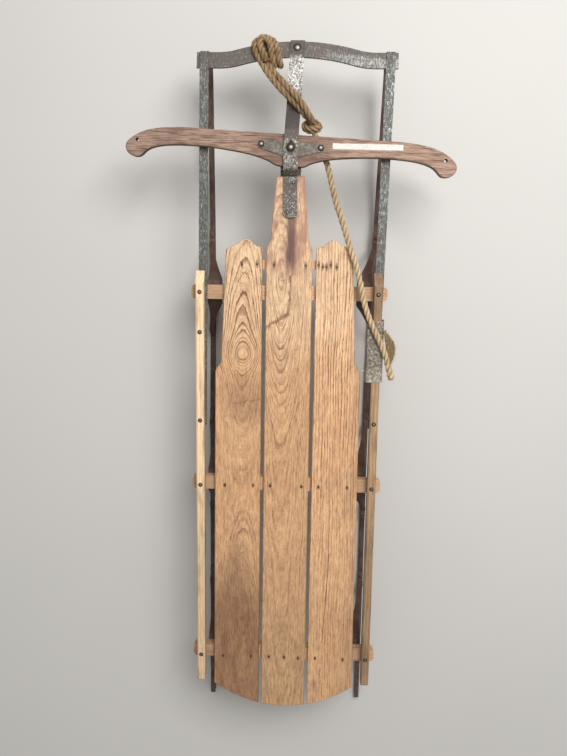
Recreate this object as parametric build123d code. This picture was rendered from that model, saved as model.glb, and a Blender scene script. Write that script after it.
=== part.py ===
from build123d import *
import math
import os

# The sled lies on its runners: X is the rider's right, Y is forward to the bumper, Z is up from the ground.
# A place along the sled is a station in mm, measured forward from the tail of the deck.
# A side outline is drawn as (station, height) and a plan outline as (x, station).

SIDES = {"left": -1, "right": 1}

# Heights, from the ground up
RUNNER_HEIGHT = 12.0
KNEE_HEIGHT = 141.0
BENCH_THICKNESS = 22.0
SLAT_THICKNESS = 11.0
RAIL_HEIGHT = 22.0
STRAP_THICKNESS = 4.0
BAR_THICKNESS = 20.0
STEERING_PLATE_THICKNESS = 2.5
CENTRE_STRAP_THICKNESS = 4.5
SLIDING_GAP = 0.8
PIVOT_GAP = 0.3
BENCH_BOTTOM = RUNNER_HEIGHT + KNEE_HEIGHT
BENCH_TOP = BENCH_BOTTOM + BENCH_THICKNESS
DECK_TOP = BENCH_TOP + SLAT_THICKNESS
RAIL_TOP = BENCH_TOP + RAIL_HEIGHT
STRAP_TOP = BENCH_TOP + STRAP_THICKNESS
BAR_BOTTOM = STRAP_TOP + SLIDING_GAP
BAR_TOP = BAR_BOTTOM + BAR_THICKNESS
PLATE_TOP = BAR_TOP + STEERING_PLATE_THICKNESS
PIVOT_STRAP_BOTTOM = PLATE_TOP + PIVOT_GAP

# Stations along the sled
BENCHES = {"rear": 133.5, "middle": 553.5, "front": 991.0}
CLEAT_STATION = 1052.0
PIVOT_STATION = 1294.0
RUNNER_TAIL = -87.0
RAIL_TAIL = 66.0
RAIL_NOSE = 1037.0
STRAP_REACH = 301.0
STRAP_REAR = BENCHES["front"] - STRAP_REACH
STRAP_RIVET_EDGE = 14.0
LEAN_START = STRAP_REAR + STRAP_RIVET_EDGE

# Deck
SLAT_GAP = 6.5
CENTRE_HALF_WIDTH_TAIL = 52.0
CENTRE_HALF_WIDTH_SHOULDER = 50.0
CENTRE_SHOULDER = 1085.0
CENTRE_NECK = 1114.0
CENTRE_NECK_HALF_WIDTH = 40.5
CENTRE_TIP = 1238.5
CENTRE_TIP_HALF_WIDTH = 30.0
CENTRE_TAIL_SAGITTA = 4.5
SIDE_TAIL_INNER = 5.5
SIDE_TAIL_OUTER = 54.0
SIDE_TAIL_BULGE = 5.0
SIDE_OUTER_TAIL = 165.0
SIDE_OUTER_STEP = 161.5
SIDE_WAIST = 148.5
SIDE_SHOULDER = 138.0
STEP_REAR = 812.0
STEP_FRONT = 842.0
SIDE_PEAK_X = 91.0
SIDE_PEAK = 1109.0
SIDE_PEAK_RADIUS = 14.0
SIDE_SHOULDER_STATION = 1083.5
SIDE_INNER_SHOULDER = 1089.0
WOOD_EDGE = 1.5

# Benches and front cleat
BENCH_WIDTH = 31.0
BENCH_OVERHANG = 12.25
BENCH_END_RADIUS = 9.0
CLEAT_LENGTH = 236.0
CLEAT_WIDTH = 20.0
CLEAT_THICKNESS = 9.0

# Side rails
RAIL_X = 194.5
RAIL_WIDTH = 18.5
RAIL_BEVEL_LENGTH = 29.0
RAIL_NOSE_THICKNESS = 3.5
RAIL_TAIL_RADIUS = 6.0
RAIL_EDGE = 2.0
WIDE = 4 * RAIL_X

# Ground runners and their curled noses
RUNNER_X = 192.0
RUNNER_WIDTH = 11.5
RUNNER_GROOVE_WIDTH = 5.0
RUNNER_GROOVE_DEPTH = 1.5
HEEL_RADIUS = 9.0
RISE_ANGLE = 10.0
RISE_RADIUS = 1800.0
NOSE_RADIUS = 46.0
NOSE_THICKNESS = 5.0
NOSE_TAPER_LENGTH = 90.0
NOSE_LAP_REAR = -14.0
NOSE_LAP_FRONT = 12.0
NOSE_FLARE_LOW = 82.0
NOSE_FLARE_HIGH = 150.0
LEAN_DEGREES = {"left": 0.5, "right": 0.95}

# Flat return straps and bumper
STRAP_WIDTH = 19.0
BUMPER_REACH = 466.0
BUMPER_BEND = BENCHES["front"] + BUMPER_REACH
BUMPER_TILT = 14.0
BUMPER_REAR_LEAD = 2.0
BUMPER_WIDTH = 34.0
BUMPER_THICKNESS = 4.5
BUMPER_OVERHANG = 7.0
BUMPER_CROWN_RADIUS = 431.0
BUMPER_END_RADIUS = 150.0
BUMPER_BOW = 24.0
STRAP_BEND_RADIUS = 12.0

# Knees between runners and benches
KNEE_TOP_X = 166.5
KNEE_TOP_WIDTH = 33.0
KNEE_THICKNESS = 4.0
KNEE_CREST = 22.0
KNEE_FOOT_INNER = 114.0
KNEE_FOOT_OUTER = 140.0
KNEE_BEND_RADIUS = 9.0
KNEE_FLARE_HEIGHT = 89.0
KNEE_ANKLE_HEIGHT = 12.0
KNEE_FOOT_GAP = 0.1

# Centre strap and lower pivot strap
CENTRE_STRAP_WIDTH = 30.0
CENTRE_STRAP_REAR = 1152.0
CENTRE_STRAP_STEP = 1238.5
CENTRE_STRAP_LEDGE = 1250.5
CENTRE_STRAP_DROP = 1330.0
CENTRE_STRAP_LANDING = 1376.0
CENTRE_STRAP_LANDING_HEIGHT = 3.5
CENTRE_STRAP_BEND = 5.0
CENTRE_STRAP_END_RADIUS = 12.0
CENTRE_STRAP_SWAY_RADIUS = 300.0
LOWER_STRAP_WIDTH = 44.0
LOWER_STRAP_THICKNESS = 4.0
LOWER_STRAP_REAR = 1146.0
LOWER_STRAP_CRANK = 1243.0
LOWER_STRAP_FRONT = 1318.0

# Steering bar, in its own frame: the pivot is its origin and its arms run along X
STEERING_ANGLE = -3.3
BAR_FRONT = 27.5
BAR_STRAIGHT = 215.0
BAR_REAR_BULGE = 38.0
BAR_WING = (
    (262, 25.2),
    (313, 14.2),
    (336, 1),
    (349.3, -16.5),
    (345, -30),
    (332, -37.3),
    (318, -36),
    (306.5, -25.5),
    (288.6, -16),
    (251.5, -9.3),
    (202, -7.6),
    (161, -8.9),
    (115, -13.2),
    (73, -20),
    (42, -30),
)
BAR_EDGE = 2.5
TOW_HOLE_X = 324.5
TOW_HOLE_Y = -4.0
TOW_HOLE_RADIUS = 4.0
PIVOT_RADIUS = 4.0
PIVOT_RUNNING_CLEARANCE = 0.08
PLATE_RIVET_X = 62.5
PLATE_RIVET_Y = 4.0
PLATE_END_RADIUS = 8.0
PLATE_WAIST_HALF_LENGTH = 15.0
PLATE_REAR = 17.5

# Rivets: shank radius, head radius and head height
RAIL_RIVET = (2.5, 5.0, 2.4)
KNEE_RIVET = (2.0, 5.0, 2.5)
BUMPER_RIVET = (4.0, 8.5, 4.0)
PIVOT_RIVET = (PIVOT_RADIUS, 8.5, 4.5)
PLATE_RIVET = (3.0, 6.8, 3.5)
STRAP_RIVET = (2.0, 3.6, 1.8)
SEAM_RIVET = (3.0, 4.6, 2.5)
SHANK_CLEARANCE = 0.3
RAIL_RIVET_SETBACK = 88.0
RAIL_RIVET_STATIONS = (LEAN_START, BENCHES["front"] - RAIL_RIVET_SETBACK)
KNEE_SCREW_DEPTH = 12.0
KNEE_RIVET_DEPTH = 6.0
TEARDROP_RADIUS = 10.0
TEARDROP_POINT = 16.0
TEARDROP_THICKNESS = 1.5
STRAP_RIVET_PLACES = ((6.8, 1225.0), (-5.3, 1163.0))

# Sheet-steel mend on the right rail
SLEEVE_X = 190.5
SLEEVE_WIDTH = 37.0
SLEEVE_SHEET = 1.2
SLEEVE_RADIUS = 3.7
SLEEVE_LENGTH = 138.0
SLEEVE_CUT = 11.0
SLEEVE_SETBACK = 54.0
SLEEVE_FRONT_OUTER = BENCHES["front"] - SLEEVE_SETBACK
SLEEVE_FRONT_INNER = SLEEVE_FRONT_OUTER - SLEEVE_CUT
SLEEVE_REAR = SLEEVE_FRONT_OUTER - SLEEVE_LENGTH

# Rope tied to the bumper
ROPE_RADIUS = 6.5
DOUBLED_RADIUS = 11.5
WRAP_X = -52.0
WRAP_LENGTH = 54.0
WRAP_THICKNESS = 14.0
WRAP_CLEARANCE = 0.5
KNOT_CENTRE = (43.0, 1343.5, 168.5)
KNOT_LENGTH = 36.0
KNOT_RADIUS = 12.0
DOUBLED_ROUTE = (
    (-57.0, 1464.0, 182.0),
    (-38.0, 1438.0, 191.0),
    (-13.0, 1411.0, 198.0),
    (11.0, 1388.0, 200.0),
    (30.0, 1366.5, 195.0),
    (42.0, 1350.0, 185.0),
)
RUN_ROUTE = (
    (46.0, 1336.0, 167.0),
    (63.0, 1300.0, 168.0),
    (81.0, 1258.0, 168.0),
    (95.0, 1194.0, 180.0),
    (117.0, 1132.0, 190.0),
    (130.5, 1089.0, 195.5),
    (144.5, 1054.0, 195.5),
    (154.0, 1017.0, 198.0),
    (165.5, 966.0, 204.5),
    (180.0, 929.0, 207.0),
    (200.5, 889.0, 207.5),
    (218.5, 848.0, 204.0),
    (228.0, 811.0, 200.0),
)

TILT = math.radians(BUMPER_TILT)
TILT_FORWARD = Vector(math.cos(TILT), -math.sin(TILT))
TILT_UP = Vector(math.sin(TILT), math.cos(TILT))
BUMPER_SEAT = Vector(BUMPER_BEND, BENCH_TOP)


def side_solid(outline, width, x=0.0):
    """A side outline given a width, centred on x."""
    return Pos(x, 0, 0) * extrude(Plane.YZ * outline, amount=width / 2, both=True)


def plan_solid(outline, low, high):
    """A plan outline raised from one height to another."""
    return extrude(Pos(0, 0, low) * outline, amount=high - low)


def tilted_point(forward, up=0.0):
    """A (station, height) on the bumper's sloping seat, up measured square to it."""
    return BUMPER_SEAT + TILT_FORWARD * forward + TILT_UP * up


def runner_x(side, station):
    """Centre line of a runner, which leans to the right ahead of its last rear rivet."""
    lead = max(0.0, station - LEAN_START)
    return SIDES[side] * RUNNER_X + math.tan(math.radians(LEAN_DEGREES[side])) * lead


def lean_band(side, width, rear, front):
    """Plan outline of a strip that follows the runner's centre line."""
    stations = [rear] + [LEAN_START] * (rear < LEAN_START) + [front]
    points = [(runner_x(side, station), station) for station in stations]
    return trace(Polyline(*points), width)


def runner_rise():
    """The nose centre, its lower tangent point and where the ground line starts to rise."""
    rise = math.radians(RISE_ANGLE)
    centre = tilted_point(NOSE_LAP_FRONT, -BUMPER_THICKNESS - NOSE_RADIUS)
    tangent = centre + Vector(math.sin(rise), -math.cos(rise)) * NOSE_RADIUS
    start = tangent.X - tangent.Y / math.tan(rise) - RISE_RADIUS * math.tan(rise / 2)
    return centre, tangent, start


def runner_top(station):
    """Height and slope angle of the runner's upper face under a knee's foot."""
    start = runner_rise()[2]
    angle = math.asin(max(0.0, station - start) / (RISE_RADIUS - RUNNER_HEIGHT))
    angle = min(angle, math.radians(RISE_ANGLE))
    height = RISE_RADIUS - (RISE_RADIUS - RUNNER_HEIGHT) * math.cos(angle)
    return height, angle


def rivet_solid(sizes, bottom, top, foot=True):
    """A rivet along Z with a domed head at top and, if it has one, a flatter foot at bottom."""
    shank, head, height = sizes
    upward = Align.CENTER, Align.CENTER, Align.MIN
    ball = (head**2 + height**2) / (2 * height)
    dome = Pos(0, 0, top + height - ball) * Sphere(ball) & Pos(0, 0, top) * Cylinder(head, height, align=upward)
    rivet = dome + Pos(0, 0, bottom) * Cylinder(shank, top - bottom, align=upward)
    if foot:
        rivet += Pos(0, 0, bottom) * Rot(180, 0, 0) * Cone(head * 0.8, head * 0.6, height * 0.6, align=upward)
    return rivet


def rivet_hole(sizes, low, high):
    """The clearance hole of a rivet's shank."""
    return Pos(0, 0, low) * Cylinder(
        sizes[0] + SHANK_CLEARANCE, high - low, align=(Align.CENTER, Align.CENTER, Align.MIN)
    )


def on_bumper(x, forward):
    """Location on the bumper's top face, with Z square to it."""
    point = tilted_point(forward)
    return Pos(x, point.X, point.Y) * Rot(-BUMPER_TILT, 0, 0)


def ogee(start, end):
    """A shouldered step whose two ends both run along Y."""
    middle = (start[1] + end[1]) / 2
    return Bezier(start, (start[0], middle), (end[0], middle), end)


# Deck


def slat_centre():
    tail = CENTRE_HALF_WIDTH_TAIL
    right = [
        Line((tail, CENTRE_TAIL_SAGITTA), (CENTRE_HALF_WIDTH_SHOULDER, CENTRE_SHOULDER)),
        Line((CENTRE_HALF_WIDTH_SHOULDER, CENTRE_SHOULDER), (CENTRE_NECK_HALF_WIDTH + 1.5, CENTRE_NECK - 9)),
        Line((CENTRE_NECK_HALF_WIDTH + 1.5, CENTRE_NECK - 9), (CENTRE_NECK_HALF_WIDTH, CENTRE_NECK)),
        Line((CENTRE_NECK_HALF_WIDTH, CENTRE_NECK), (CENTRE_TIP_HALF_WIDTH, CENTRE_TIP)),
    ]
    edges = right + [mirror(edge, about=Plane.YZ) for edge in right]
    edges.append(Line((-CENTRE_TIP_HALF_WIDTH, CENTRE_TIP), (CENTRE_TIP_HALF_WIDTH, CENTRE_TIP)))
    edges.append(ThreePointArc((-tail, CENTRE_TAIL_SAGITTA), (0, 0), (tail, CENTRE_TAIL_SAGITTA)))
    slat = ease_top(plan_solid(make_face(edges), BENCH_TOP, DECK_TOP), DECK_TOP, WOOD_EDGE)
    for x, station in STRAP_RIVET_PLACES:
        slat -= Pos(x, station) * rivet_hole(STRAP_RIVET, BENCH_TOP - 1, DECK_TOP + 1)
    return slat


def slat_side(side):
    inner = CENTRE_HALF_WIDTH_TAIL + SLAT_GAP
    mouth = (inner + 20.0, SIDE_INNER_SHOULDER + 8.0)
    tail_middle = ((inner + SIDE_OUTER_TAIL) / 2 + 2, (SIDE_TAIL_INNER + SIDE_TAIL_OUTER) / 2 - SIDE_TAIL_BULGE)
    edges = [
        Line((inner, SIDE_TAIL_INNER), (inner, SIDE_INNER_SHOULDER)),
        TangentArc((inner, SIDE_INNER_SHOULDER), mouth, tangent=(1, 0)),
        Line(mouth, (SIDE_PEAK_X, SIDE_PEAK)),
        Line((SIDE_PEAK_X, SIDE_PEAK), (SIDE_SHOULDER, SIDE_SHOULDER_STATION)),
        Line((SIDE_SHOULDER, SIDE_SHOULDER_STATION), (SIDE_WAIST, STEP_FRONT)),
        ogee((SIDE_WAIST, STEP_FRONT), (SIDE_OUTER_STEP, STEP_REAR)),
        Line((SIDE_OUTER_STEP, STEP_REAR), (SIDE_OUTER_TAIL, SIDE_TAIL_OUTER)),
        ThreePointArc((SIDE_OUTER_TAIL, SIDE_TAIL_OUTER), tail_middle, (inner, SIDE_TAIL_INNER)),
    ]
    outline = make_face(edges)
    outline = fillet(outline.vertices().sort_by(Axis.Y)[-1], SIDE_PEAK_RADIUS)
    if side == "left":
        outline = mirror(outline, about=Plane.YZ)
    slat = plan_solid(outline, BENCH_TOP, DECK_TOP)
    return ease_top(slat, DECK_TOP, WOOD_EDGE)


def ease_top(solid, height, size):
    """Chamfer the edges that lie in the face at this height."""
    edges = solid.edges().filter_by_position(Axis.Z, height - 0.01, height + 0.01)
    return chamfer(edges, size)


# Benches and cleat


def bench(station):
    """Cross piece that carries both rails and all slats."""
    half = RAIL_X + RAIL_WIDTH / 2 + BENCH_OVERHANG
    outline = Pos(0, station) * RectangleRounded(2 * half, BENCH_WIDTH, BENCH_END_RADIUS)
    solid = plan_solid(outline, BENCH_BOTTOM, BENCH_TOP)
    for side in SIDES:
        rail = Pos(SIDES[side] * RAIL_X, station)
        solid -= rail * rivet_hole(RAIL_RIVET, BENCH_BOTTOM - 1, BENCH_TOP + 1)
        screw = Pos(SIDES[side] * KNEE_TOP_X, station)
        solid -= screw * rivet_hole(KNEE_RIVET, BENCH_BOTTOM - 1, BENCH_BOTTOM + KNEE_SCREW_DEPTH + 0.5)
    return solid


def front_cleat():
    outline = Pos(0, CLEAT_STATION) * RectangleRounded(CLEAT_LENGTH, CLEAT_WIDTH, 3.0)
    return plan_solid(outline, BENCH_TOP - CLEAT_THICKNESS, BENCH_TOP)


# Side rails


def rail(side):
    rebate = STRAP_REAR - 0.5
    bevel_start = RAIL_NOSE - RAIL_BEVEL_LENGTH
    nose_height = STRAP_TOP + RAIL_NOSE_THICKNESS
    edges = [
        Polyline(
            (RAIL_TAIL + RAIL_TAIL_RADIUS, RAIL_TOP),
            (bevel_start, RAIL_TOP),
            (RAIL_NOSE, nose_height),
            (RAIL_NOSE, STRAP_TOP),
            (rebate, STRAP_TOP),
            (rebate, BENCH_TOP),
            (RAIL_TAIL, BENCH_TOP),
            (RAIL_TAIL, RAIL_TOP - RAIL_TAIL_RADIUS),
        ),
        RadiusArc((RAIL_TAIL, RAIL_TOP - RAIL_TAIL_RADIUS), (RAIL_TAIL + RAIL_TAIL_RADIUS, RAIL_TOP), RAIL_TAIL_RADIUS),
    ]
    solid = side_solid(make_face(edges), RAIL_WIDTH, SIDES[side] * RAIL_X)
    top_edges = solid.edges().filter_by(Axis.Y).filter_by_position(Axis.Z, RAIL_TOP - 0.01, RAIL_TOP + 0.01)
    solid = chamfer(top_edges, RAIL_EDGE)
    for station in rail_rivet_stations(side):
        solid -= Pos(SIDES[side] * RAIL_X, station) * rivet_hole(RAIL_RIVET, BENCH_TOP - 1, RAIL_TOP + 1)
    return solid


def rail_rivet_stations(side):
    """Rivets over the benches and into the strap. The right one under the mend is gone."""
    hidden = (SLEEVE_REAR, SLEEVE_FRONT_OUTER) if side == "right" else (0, 0)
    stations = [*BENCHES.values(), *RAIL_RIVET_STATIONS]
    return [station for station in stations if not hidden[0] < station < hidden[1]]


def rail_rivets(side):
    """Bench rivets clench under the bench, the others under the return strap."""
    solids = []
    for station in rail_rivet_stations(side):
        bottom = BENCH_BOTTOM if station in BENCHES.values() else BENCH_TOP
        solids.append(Pos(SIDES[side] * RAIL_X, station) * rivet_solid(RAIL_RIVET, bottom, RAIL_TOP))
    return Compound(solids)


def repair_sleeve():
    """Galvanised sheet wrapped round the right rail and its strap."""
    height = RAIL_HEIGHT + 2 * SLEEVE_SHEET
    outer = RectangleRounded(SLEEVE_WIDTH, height, SLEEVE_RADIUS)
    inner = RectangleRounded(SLEEVE_WIDTH - 2 * SLEEVE_SHEET, RAIL_HEIGHT, SLEEVE_RADIUS - SLEEVE_SHEET)
    section = Pos(SLEEVE_X, BENCH_TOP + RAIL_HEIGHT / 2) * (outer - inner)
    tube = extrude(Plane.XZ * section, amount=-SLEEVE_FRONT_OUTER)
    half = SLEEVE_WIDTH / 2 + 1
    outline = Pos(SLEEVE_X, 0) * Polygon(
        (-half, SLEEVE_REAR), (half, SLEEVE_REAR), (half, SLEEVE_FRONT_OUTER), (-half, SLEEVE_FRONT_INNER), align=None
    )
    return tube & plan_solid(outline, 0, WIDE)


# Runners and return straps


def runner_outline():
    centre, tangent, start = runner_rise()
    rise = math.radians(RISE_ANGLE)
    slope = Vector(math.cos(rise), math.sin(rise))
    square = Vector(-math.sin(rise), math.cos(rise))
    arc_centre = Vector(start, RISE_RADIUS)
    low_end = arc_centre + Vector(math.sin(rise), -math.cos(rise)) * RISE_RADIUS
    high_end = arc_centre + Vector(math.sin(rise), -math.cos(rise)) * (RISE_RADIUS - RUNNER_HEIGHT)
    taper = tangent - slope * NOSE_TAPER_LENGTH + square * RUNNER_HEIGHT
    lap_front = tilted_point(NOSE_LAP_FRONT, -BUMPER_THICKNESS)
    lap_rear = tilted_point(NOSE_LAP_REAR, -BUMPER_THICKNESS)
    under_rear = tilted_point(NOSE_LAP_REAR, -BUMPER_THICKNESS - NOSE_THICKNESS)
    under_front = tilted_point(NOSE_LAP_FRONT, -BUMPER_THICKNESS - NOSE_THICKNESS)
    inner_tangent = tangent + square * NOSE_THICKNESS
    turn = 180 - BUMPER_TILT - RISE_ANGLE
    edges = [
        CenterArc((RUNNER_TAIL + HEEL_RADIUS, HEEL_RADIUS), HEEL_RADIUS, 180, 90),
        Line((RUNNER_TAIL + HEEL_RADIUS, 0), (start, 0)),
        CenterArc(arc_centre, RISE_RADIUS, -90, RISE_ANGLE),
        Line(low_end, tangent),
        CenterArc(centre, NOSE_RADIUS, RISE_ANGLE - 90, turn),
        Polyline(lap_front, lap_rear, under_rear, under_front),
        CenterArc(centre, NOSE_RADIUS - NOSE_THICKNESS, 90 - BUMPER_TILT, -turn),
        Polyline(inner_tangent, taper, high_end),
        CenterArc(arc_centre, RISE_RADIUS - RUNNER_HEIGHT, RISE_ANGLE - 90, -RISE_ANGLE),
        Polyline((start, RUNNER_HEIGHT), (RUNNER_TAIL, RUNNER_HEIGHT), (RUNNER_TAIL, HEEL_RADIUS)),
    ]
    return make_face(edges)


def runner(side):
    """Grooved bar on the ground that rises, curls over and widens to lap under the bumper."""
    slab = side_solid(runner_outline(), WIDE)
    front = BUMPER_BEND + 2 * NOSE_RADIUS
    bar = slab & plan_solid(lean_band(side, RUNNER_WIDTH, RUNNER_TAIL - 1, front), -1, WIDE)
    x = runner_x(side, BUMPER_BEND)
    low = RUNNER_WIDTH / 2
    high = STRAP_WIDTH / 2
    flare = Polygon(
        (x - low, NOSE_FLARE_LOW), (x + low, NOSE_FLARE_LOW), (x + high, NOSE_FLARE_HIGH), (x + high, BENCH_TOP),
        (x - high, BENCH_TOP), (x - high, NOSE_FLARE_HIGH), align=None,
    )
    nose = slab & extrude(Plane.XZ * flare, amount=-front)
    groove_rear = RUNNER_TAIL + HEEL_RADIUS + 10
    groove = lean_band(side, RUNNER_GROOVE_WIDTH, groove_rear, runner_rise()[2])
    solid = bar + nose - plan_solid(groove, -1, RUNNER_GROOVE_DEPTH)
    for place in foot_places(side):
        solid -= place * rivet_hole(KNEE_RIVET, -KNEE_RIVET_DEPTH - 0.5, 1)
    solid -= seam_place(side) * rivet_hole(SEAM_RIVET, -BUMPER_THICKNESS - NOSE_THICKNESS - 2, 1)
    return solid


def return_strap(side):
    """Flat strap from under the rail to the bumper, bent down over the bumper's end."""
    half = STRAP_THICKNESS / 2
    path = FilletPolyline(
        (STRAP_REAR, BENCH_TOP + half),
        (BUMPER_BEND + half * math.tan(TILT / 2), BENCH_TOP + half),
        tilted_point(BUMPER_REAR_LEAD + BUMPER_WIDTH, half),
        radius=STRAP_BEND_RADIUS,
    )
    slab = side_solid(trace(path, STRAP_THICKNESS), WIDE)
    band = lean_band(side, STRAP_WIDTH, STRAP_REAR - 1, BUMPER_BEND + 2 * BUMPER_WIDTH)
    solid = slab & plan_solid(band, 0, WIDE)
    for station in rail_rivet_stations(side):
        if station > STRAP_REAR:
            solid -= Pos(SIDES[side] * RAIL_X, station) * rivet_hole(RAIL_RIVET, BENCH_TOP - 1, STRAP_TOP + 1)
    return solid - seam_place(side) * rivet_hole(SEAM_RIVET, -1, STRAP_THICKNESS + 1)


# Knees


def foot_places(side):
    """Where each knee's foot rivets stand on the runner, with Z square to the runner."""
    places = []
    for station in BENCHES.values():
        for end in (-1, 1):
            foot = station + end * (KNEE_FOOT_INNER + KNEE_FOOT_OUTER) / 2
            height, angle = runner_top(foot)
            place = Pos(runner_x(side, foot), foot, height) * Rot(math.degrees(angle), 0, 0)
            places.append(place)
    return places


def knee_points(station):
    """Centre line of the arch, from the rear foot over the crest to the front foot."""
    crest = BENCH_BOTTOM - KNEE_THICKNESS / 2
    points = []
    for end, offset in ((-1, KNEE_FOOT_OUTER), (-1, KNEE_FOOT_INNER), (1, KNEE_FOOT_INNER), (1, KNEE_FOOT_OUTER)):
        middle = station + end * (KNEE_FOOT_INNER + KNEE_FOOT_OUTER) / 2
        height, angle = runner_top(middle)
        lift = KNEE_THICKNESS / 2 + KNEE_FOOT_GAP
        along = end * offset - (middle - station)
        points.append((middle + along * math.cos(angle) - lift * math.sin(angle),
                       height + along * math.sin(angle) + lift * math.cos(angle)))
    crest_points = [(station - KNEE_CREST, crest), (station + KNEE_CREST, crest)]
    return points[:2] + crest_points + points[2:]


def knee(side, station):
    """Arched strap that is as narrow as the runner at its feet and flares under the bench."""
    path = FilletPolyline(*knee_points(station), radius=KNEE_BEND_RADIUS)
    arch = side_solid(trace(path, KNEE_THICKNESS), WIDE)
    foot_x = abs(runner_x(side, station))
    narrow = RUNNER_WIDTH / 2
    wide = KNEE_TOP_WIDTH / 2
    foot_top = runner_top(station + KNEE_FOOT_OUTER)[0] + KNEE_ANKLE_HEIGHT
    low = BENCH_BOTTOM - KNEE_FLARE_HEIGHT
    high = BENCH_BOTTOM - 1.5 * KNEE_THICKNESS
    middle = (low + high) / 2
    share = {height: (height - foot_top) / (high - foot_top) for height in (low, middle)}
    x_low = foot_x + (KNEE_TOP_X - foot_x) * share[low]
    x_middle = foot_x + (KNEE_TOP_X - foot_x) * share[middle]
    bulge = narrow + (wide - narrow) * 0.28
    above = BENCH_BOTTOM + KNEE_THICKNESS
    edges = [
        Line((foot_x - narrow, 0), (foot_x + narrow, 0)),
        Line((KNEE_TOP_X - wide, above), (KNEE_TOP_X + wide, above)),
    ]
    for edge in (-1, 1):
        lower = (x_low + edge * narrow, low)
        upper = (KNEE_TOP_X + edge * wide, high)
        edges += [
            Polyline((foot_x + edge * narrow, 0), (foot_x + edge * narrow, foot_top), lower),
            ThreePointArc(lower, (x_middle + edge * bulge, middle), upper),
            Line(upper, (KNEE_TOP_X + edge * wide, above)),
        ]
    front_view = make_face(edges)
    if side == "left":
        front_view = mirror(front_view, about=Plane.YZ)
    solid = arch & extrude(Plane.XZ * front_view, amount=-WIDE * 2, both=True)
    for place in foot_places(side):
        solid -= place * rivet_hole(KNEE_RIVET, -1, KNEE_THICKNESS + 1)
    screw = Pos(SIDES[side] * KNEE_TOP_X, station)
    return solid - screw * rivet_hole(KNEE_RIVET, BENCH_BOTTOM - KNEE_THICKNESS - 1, BENCH_BOTTOM + 1)


def knee_rivets(side):
    """A rivet in every foot and a screw up into every bench."""
    top = KNEE_THICKNESS + KNEE_FOOT_GAP
    solids = [place * rivet_solid(KNEE_RIVET, -KNEE_RIVET_DEPTH, top, foot=False) for place in foot_places(side)]
    screw = rivet_solid(KNEE_RIVET, -KNEE_THICKNESS - KNEE_SCREW_DEPTH, 0, foot=False)
    for station in BENCHES.values():
        seat = Pos(SIDES[side] * KNEE_TOP_X, station, BENCH_BOTTOM - KNEE_THICKNESS)
        solids.append(seat * Rot(180, 0, 0) * screw)
    return Compound(solids)


# Bumper and straps at the front


def bumper_centre_x():
    return (runner_x("left", BUMPER_BEND) + runner_x("right", BUMPER_BEND)) / 2


def bumper_half_length():
    spread = runner_x("right", BUMPER_BEND) - runner_x("left", BUMPER_BEND)
    return spread / 2 + STRAP_WIDTH / 2 + BUMPER_OVERHANG


def bumper_edge(offset):
    """One long edge of the bow, parallel to its middle line, from the left end to the right."""
    crown = BUMPER_CROWN_RADIUS + offset
    ends = BUMPER_END_RADIUS - offset
    angle = math.acos(1 - BUMPER_BOW / (BUMPER_CROWN_RADIUS + BUMPER_END_RADIUS))
    inflection = crown * math.sin(angle)
    reach = (BUMPER_CROWN_RADIUS + BUMPER_END_RADIUS) * math.sin(angle)
    level = BUMPER_REAR_LEAD + BUMPER_WIDTH / 2 + offset
    high = level + BUMPER_BOW
    shoulder = high - crown * (1 - math.cos(angle))
    half = bumper_half_length()
    right = [
        TangentArc((reach, level), (inflection, shoulder), tangent=(-1, 0)),
        Line((reach, level), (half, level)),
    ]
    crown_arc = ThreePointArc((-inflection, shoulder), (0, high), (inflection, shoulder))
    return right + [mirror(edge, about=Plane.YZ) for edge in right] + [crown_arc]


def bumper_bar():
    """Flat bowed bar, tipped down at the front, under the straps and on the curled noses."""
    half = bumper_half_length()
    rear = BUMPER_REAR_LEAD
    front = rear + BUMPER_WIDTH
    edges = bumper_edge(-BUMPER_WIDTH / 2) + bumper_edge(BUMPER_WIDTH / 2)
    edges += [Line((x, rear), (x, front)) for x in (-half, half)]
    bar = extrude(make_face(edges), amount=-BUMPER_THICKNESS)
    solid = on_bumper(bumper_centre_x(), 0) * bar
    for side in SIDES:
        solid -= seam_place(side) * rivet_hole(SEAM_RIVET, -BUMPER_THICKNESS - 1, 1)
    return solid - bumper_rivet_place() * rivet_hole(BUMPER_RIVET, -BUMPER_THICKNESS - 1, 1)


def seam_place(side):
    """Middle of the seam that joins strap, bumper and nose."""
    forward = (BUMPER_REAR_LEAD + NOSE_LAP_FRONT) / 2
    return on_bumper(runner_x(side, BUMPER_BEND), forward)


def bumper_rivet_place():
    return on_bumper(bumper_centre_x(), BUMPER_REAR_LEAD + BUMPER_BOW + BUMPER_WIDTH * 0.56)


def bumper_end_rivets():
    """Rivets finished flush on top, clenched inside the curled noses."""
    bottom = -BUMPER_THICKNESS - NOSE_THICKNESS
    shank, foot, height = SEAM_RIVET
    down = Align.CENTER, Align.CENTER, Align.MAX
    solids = []
    for side in SIDES:
        body = Pos(0, 0, STRAP_THICKNESS) * Cylinder(shank, STRAP_THICKNESS - bottom, align=down)
        body += Pos(0, 0, bottom) * Cone(shank, foot, height, align=down)
        solids.append(seam_place(side) * body)
    return Compound(solids)


def bumper_rivet():
    return bumper_rivet_place() * rivet_solid(BUMPER_RIVET, -BUMPER_THICKNESS, CENTRE_STRAP_THICKNESS)


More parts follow.
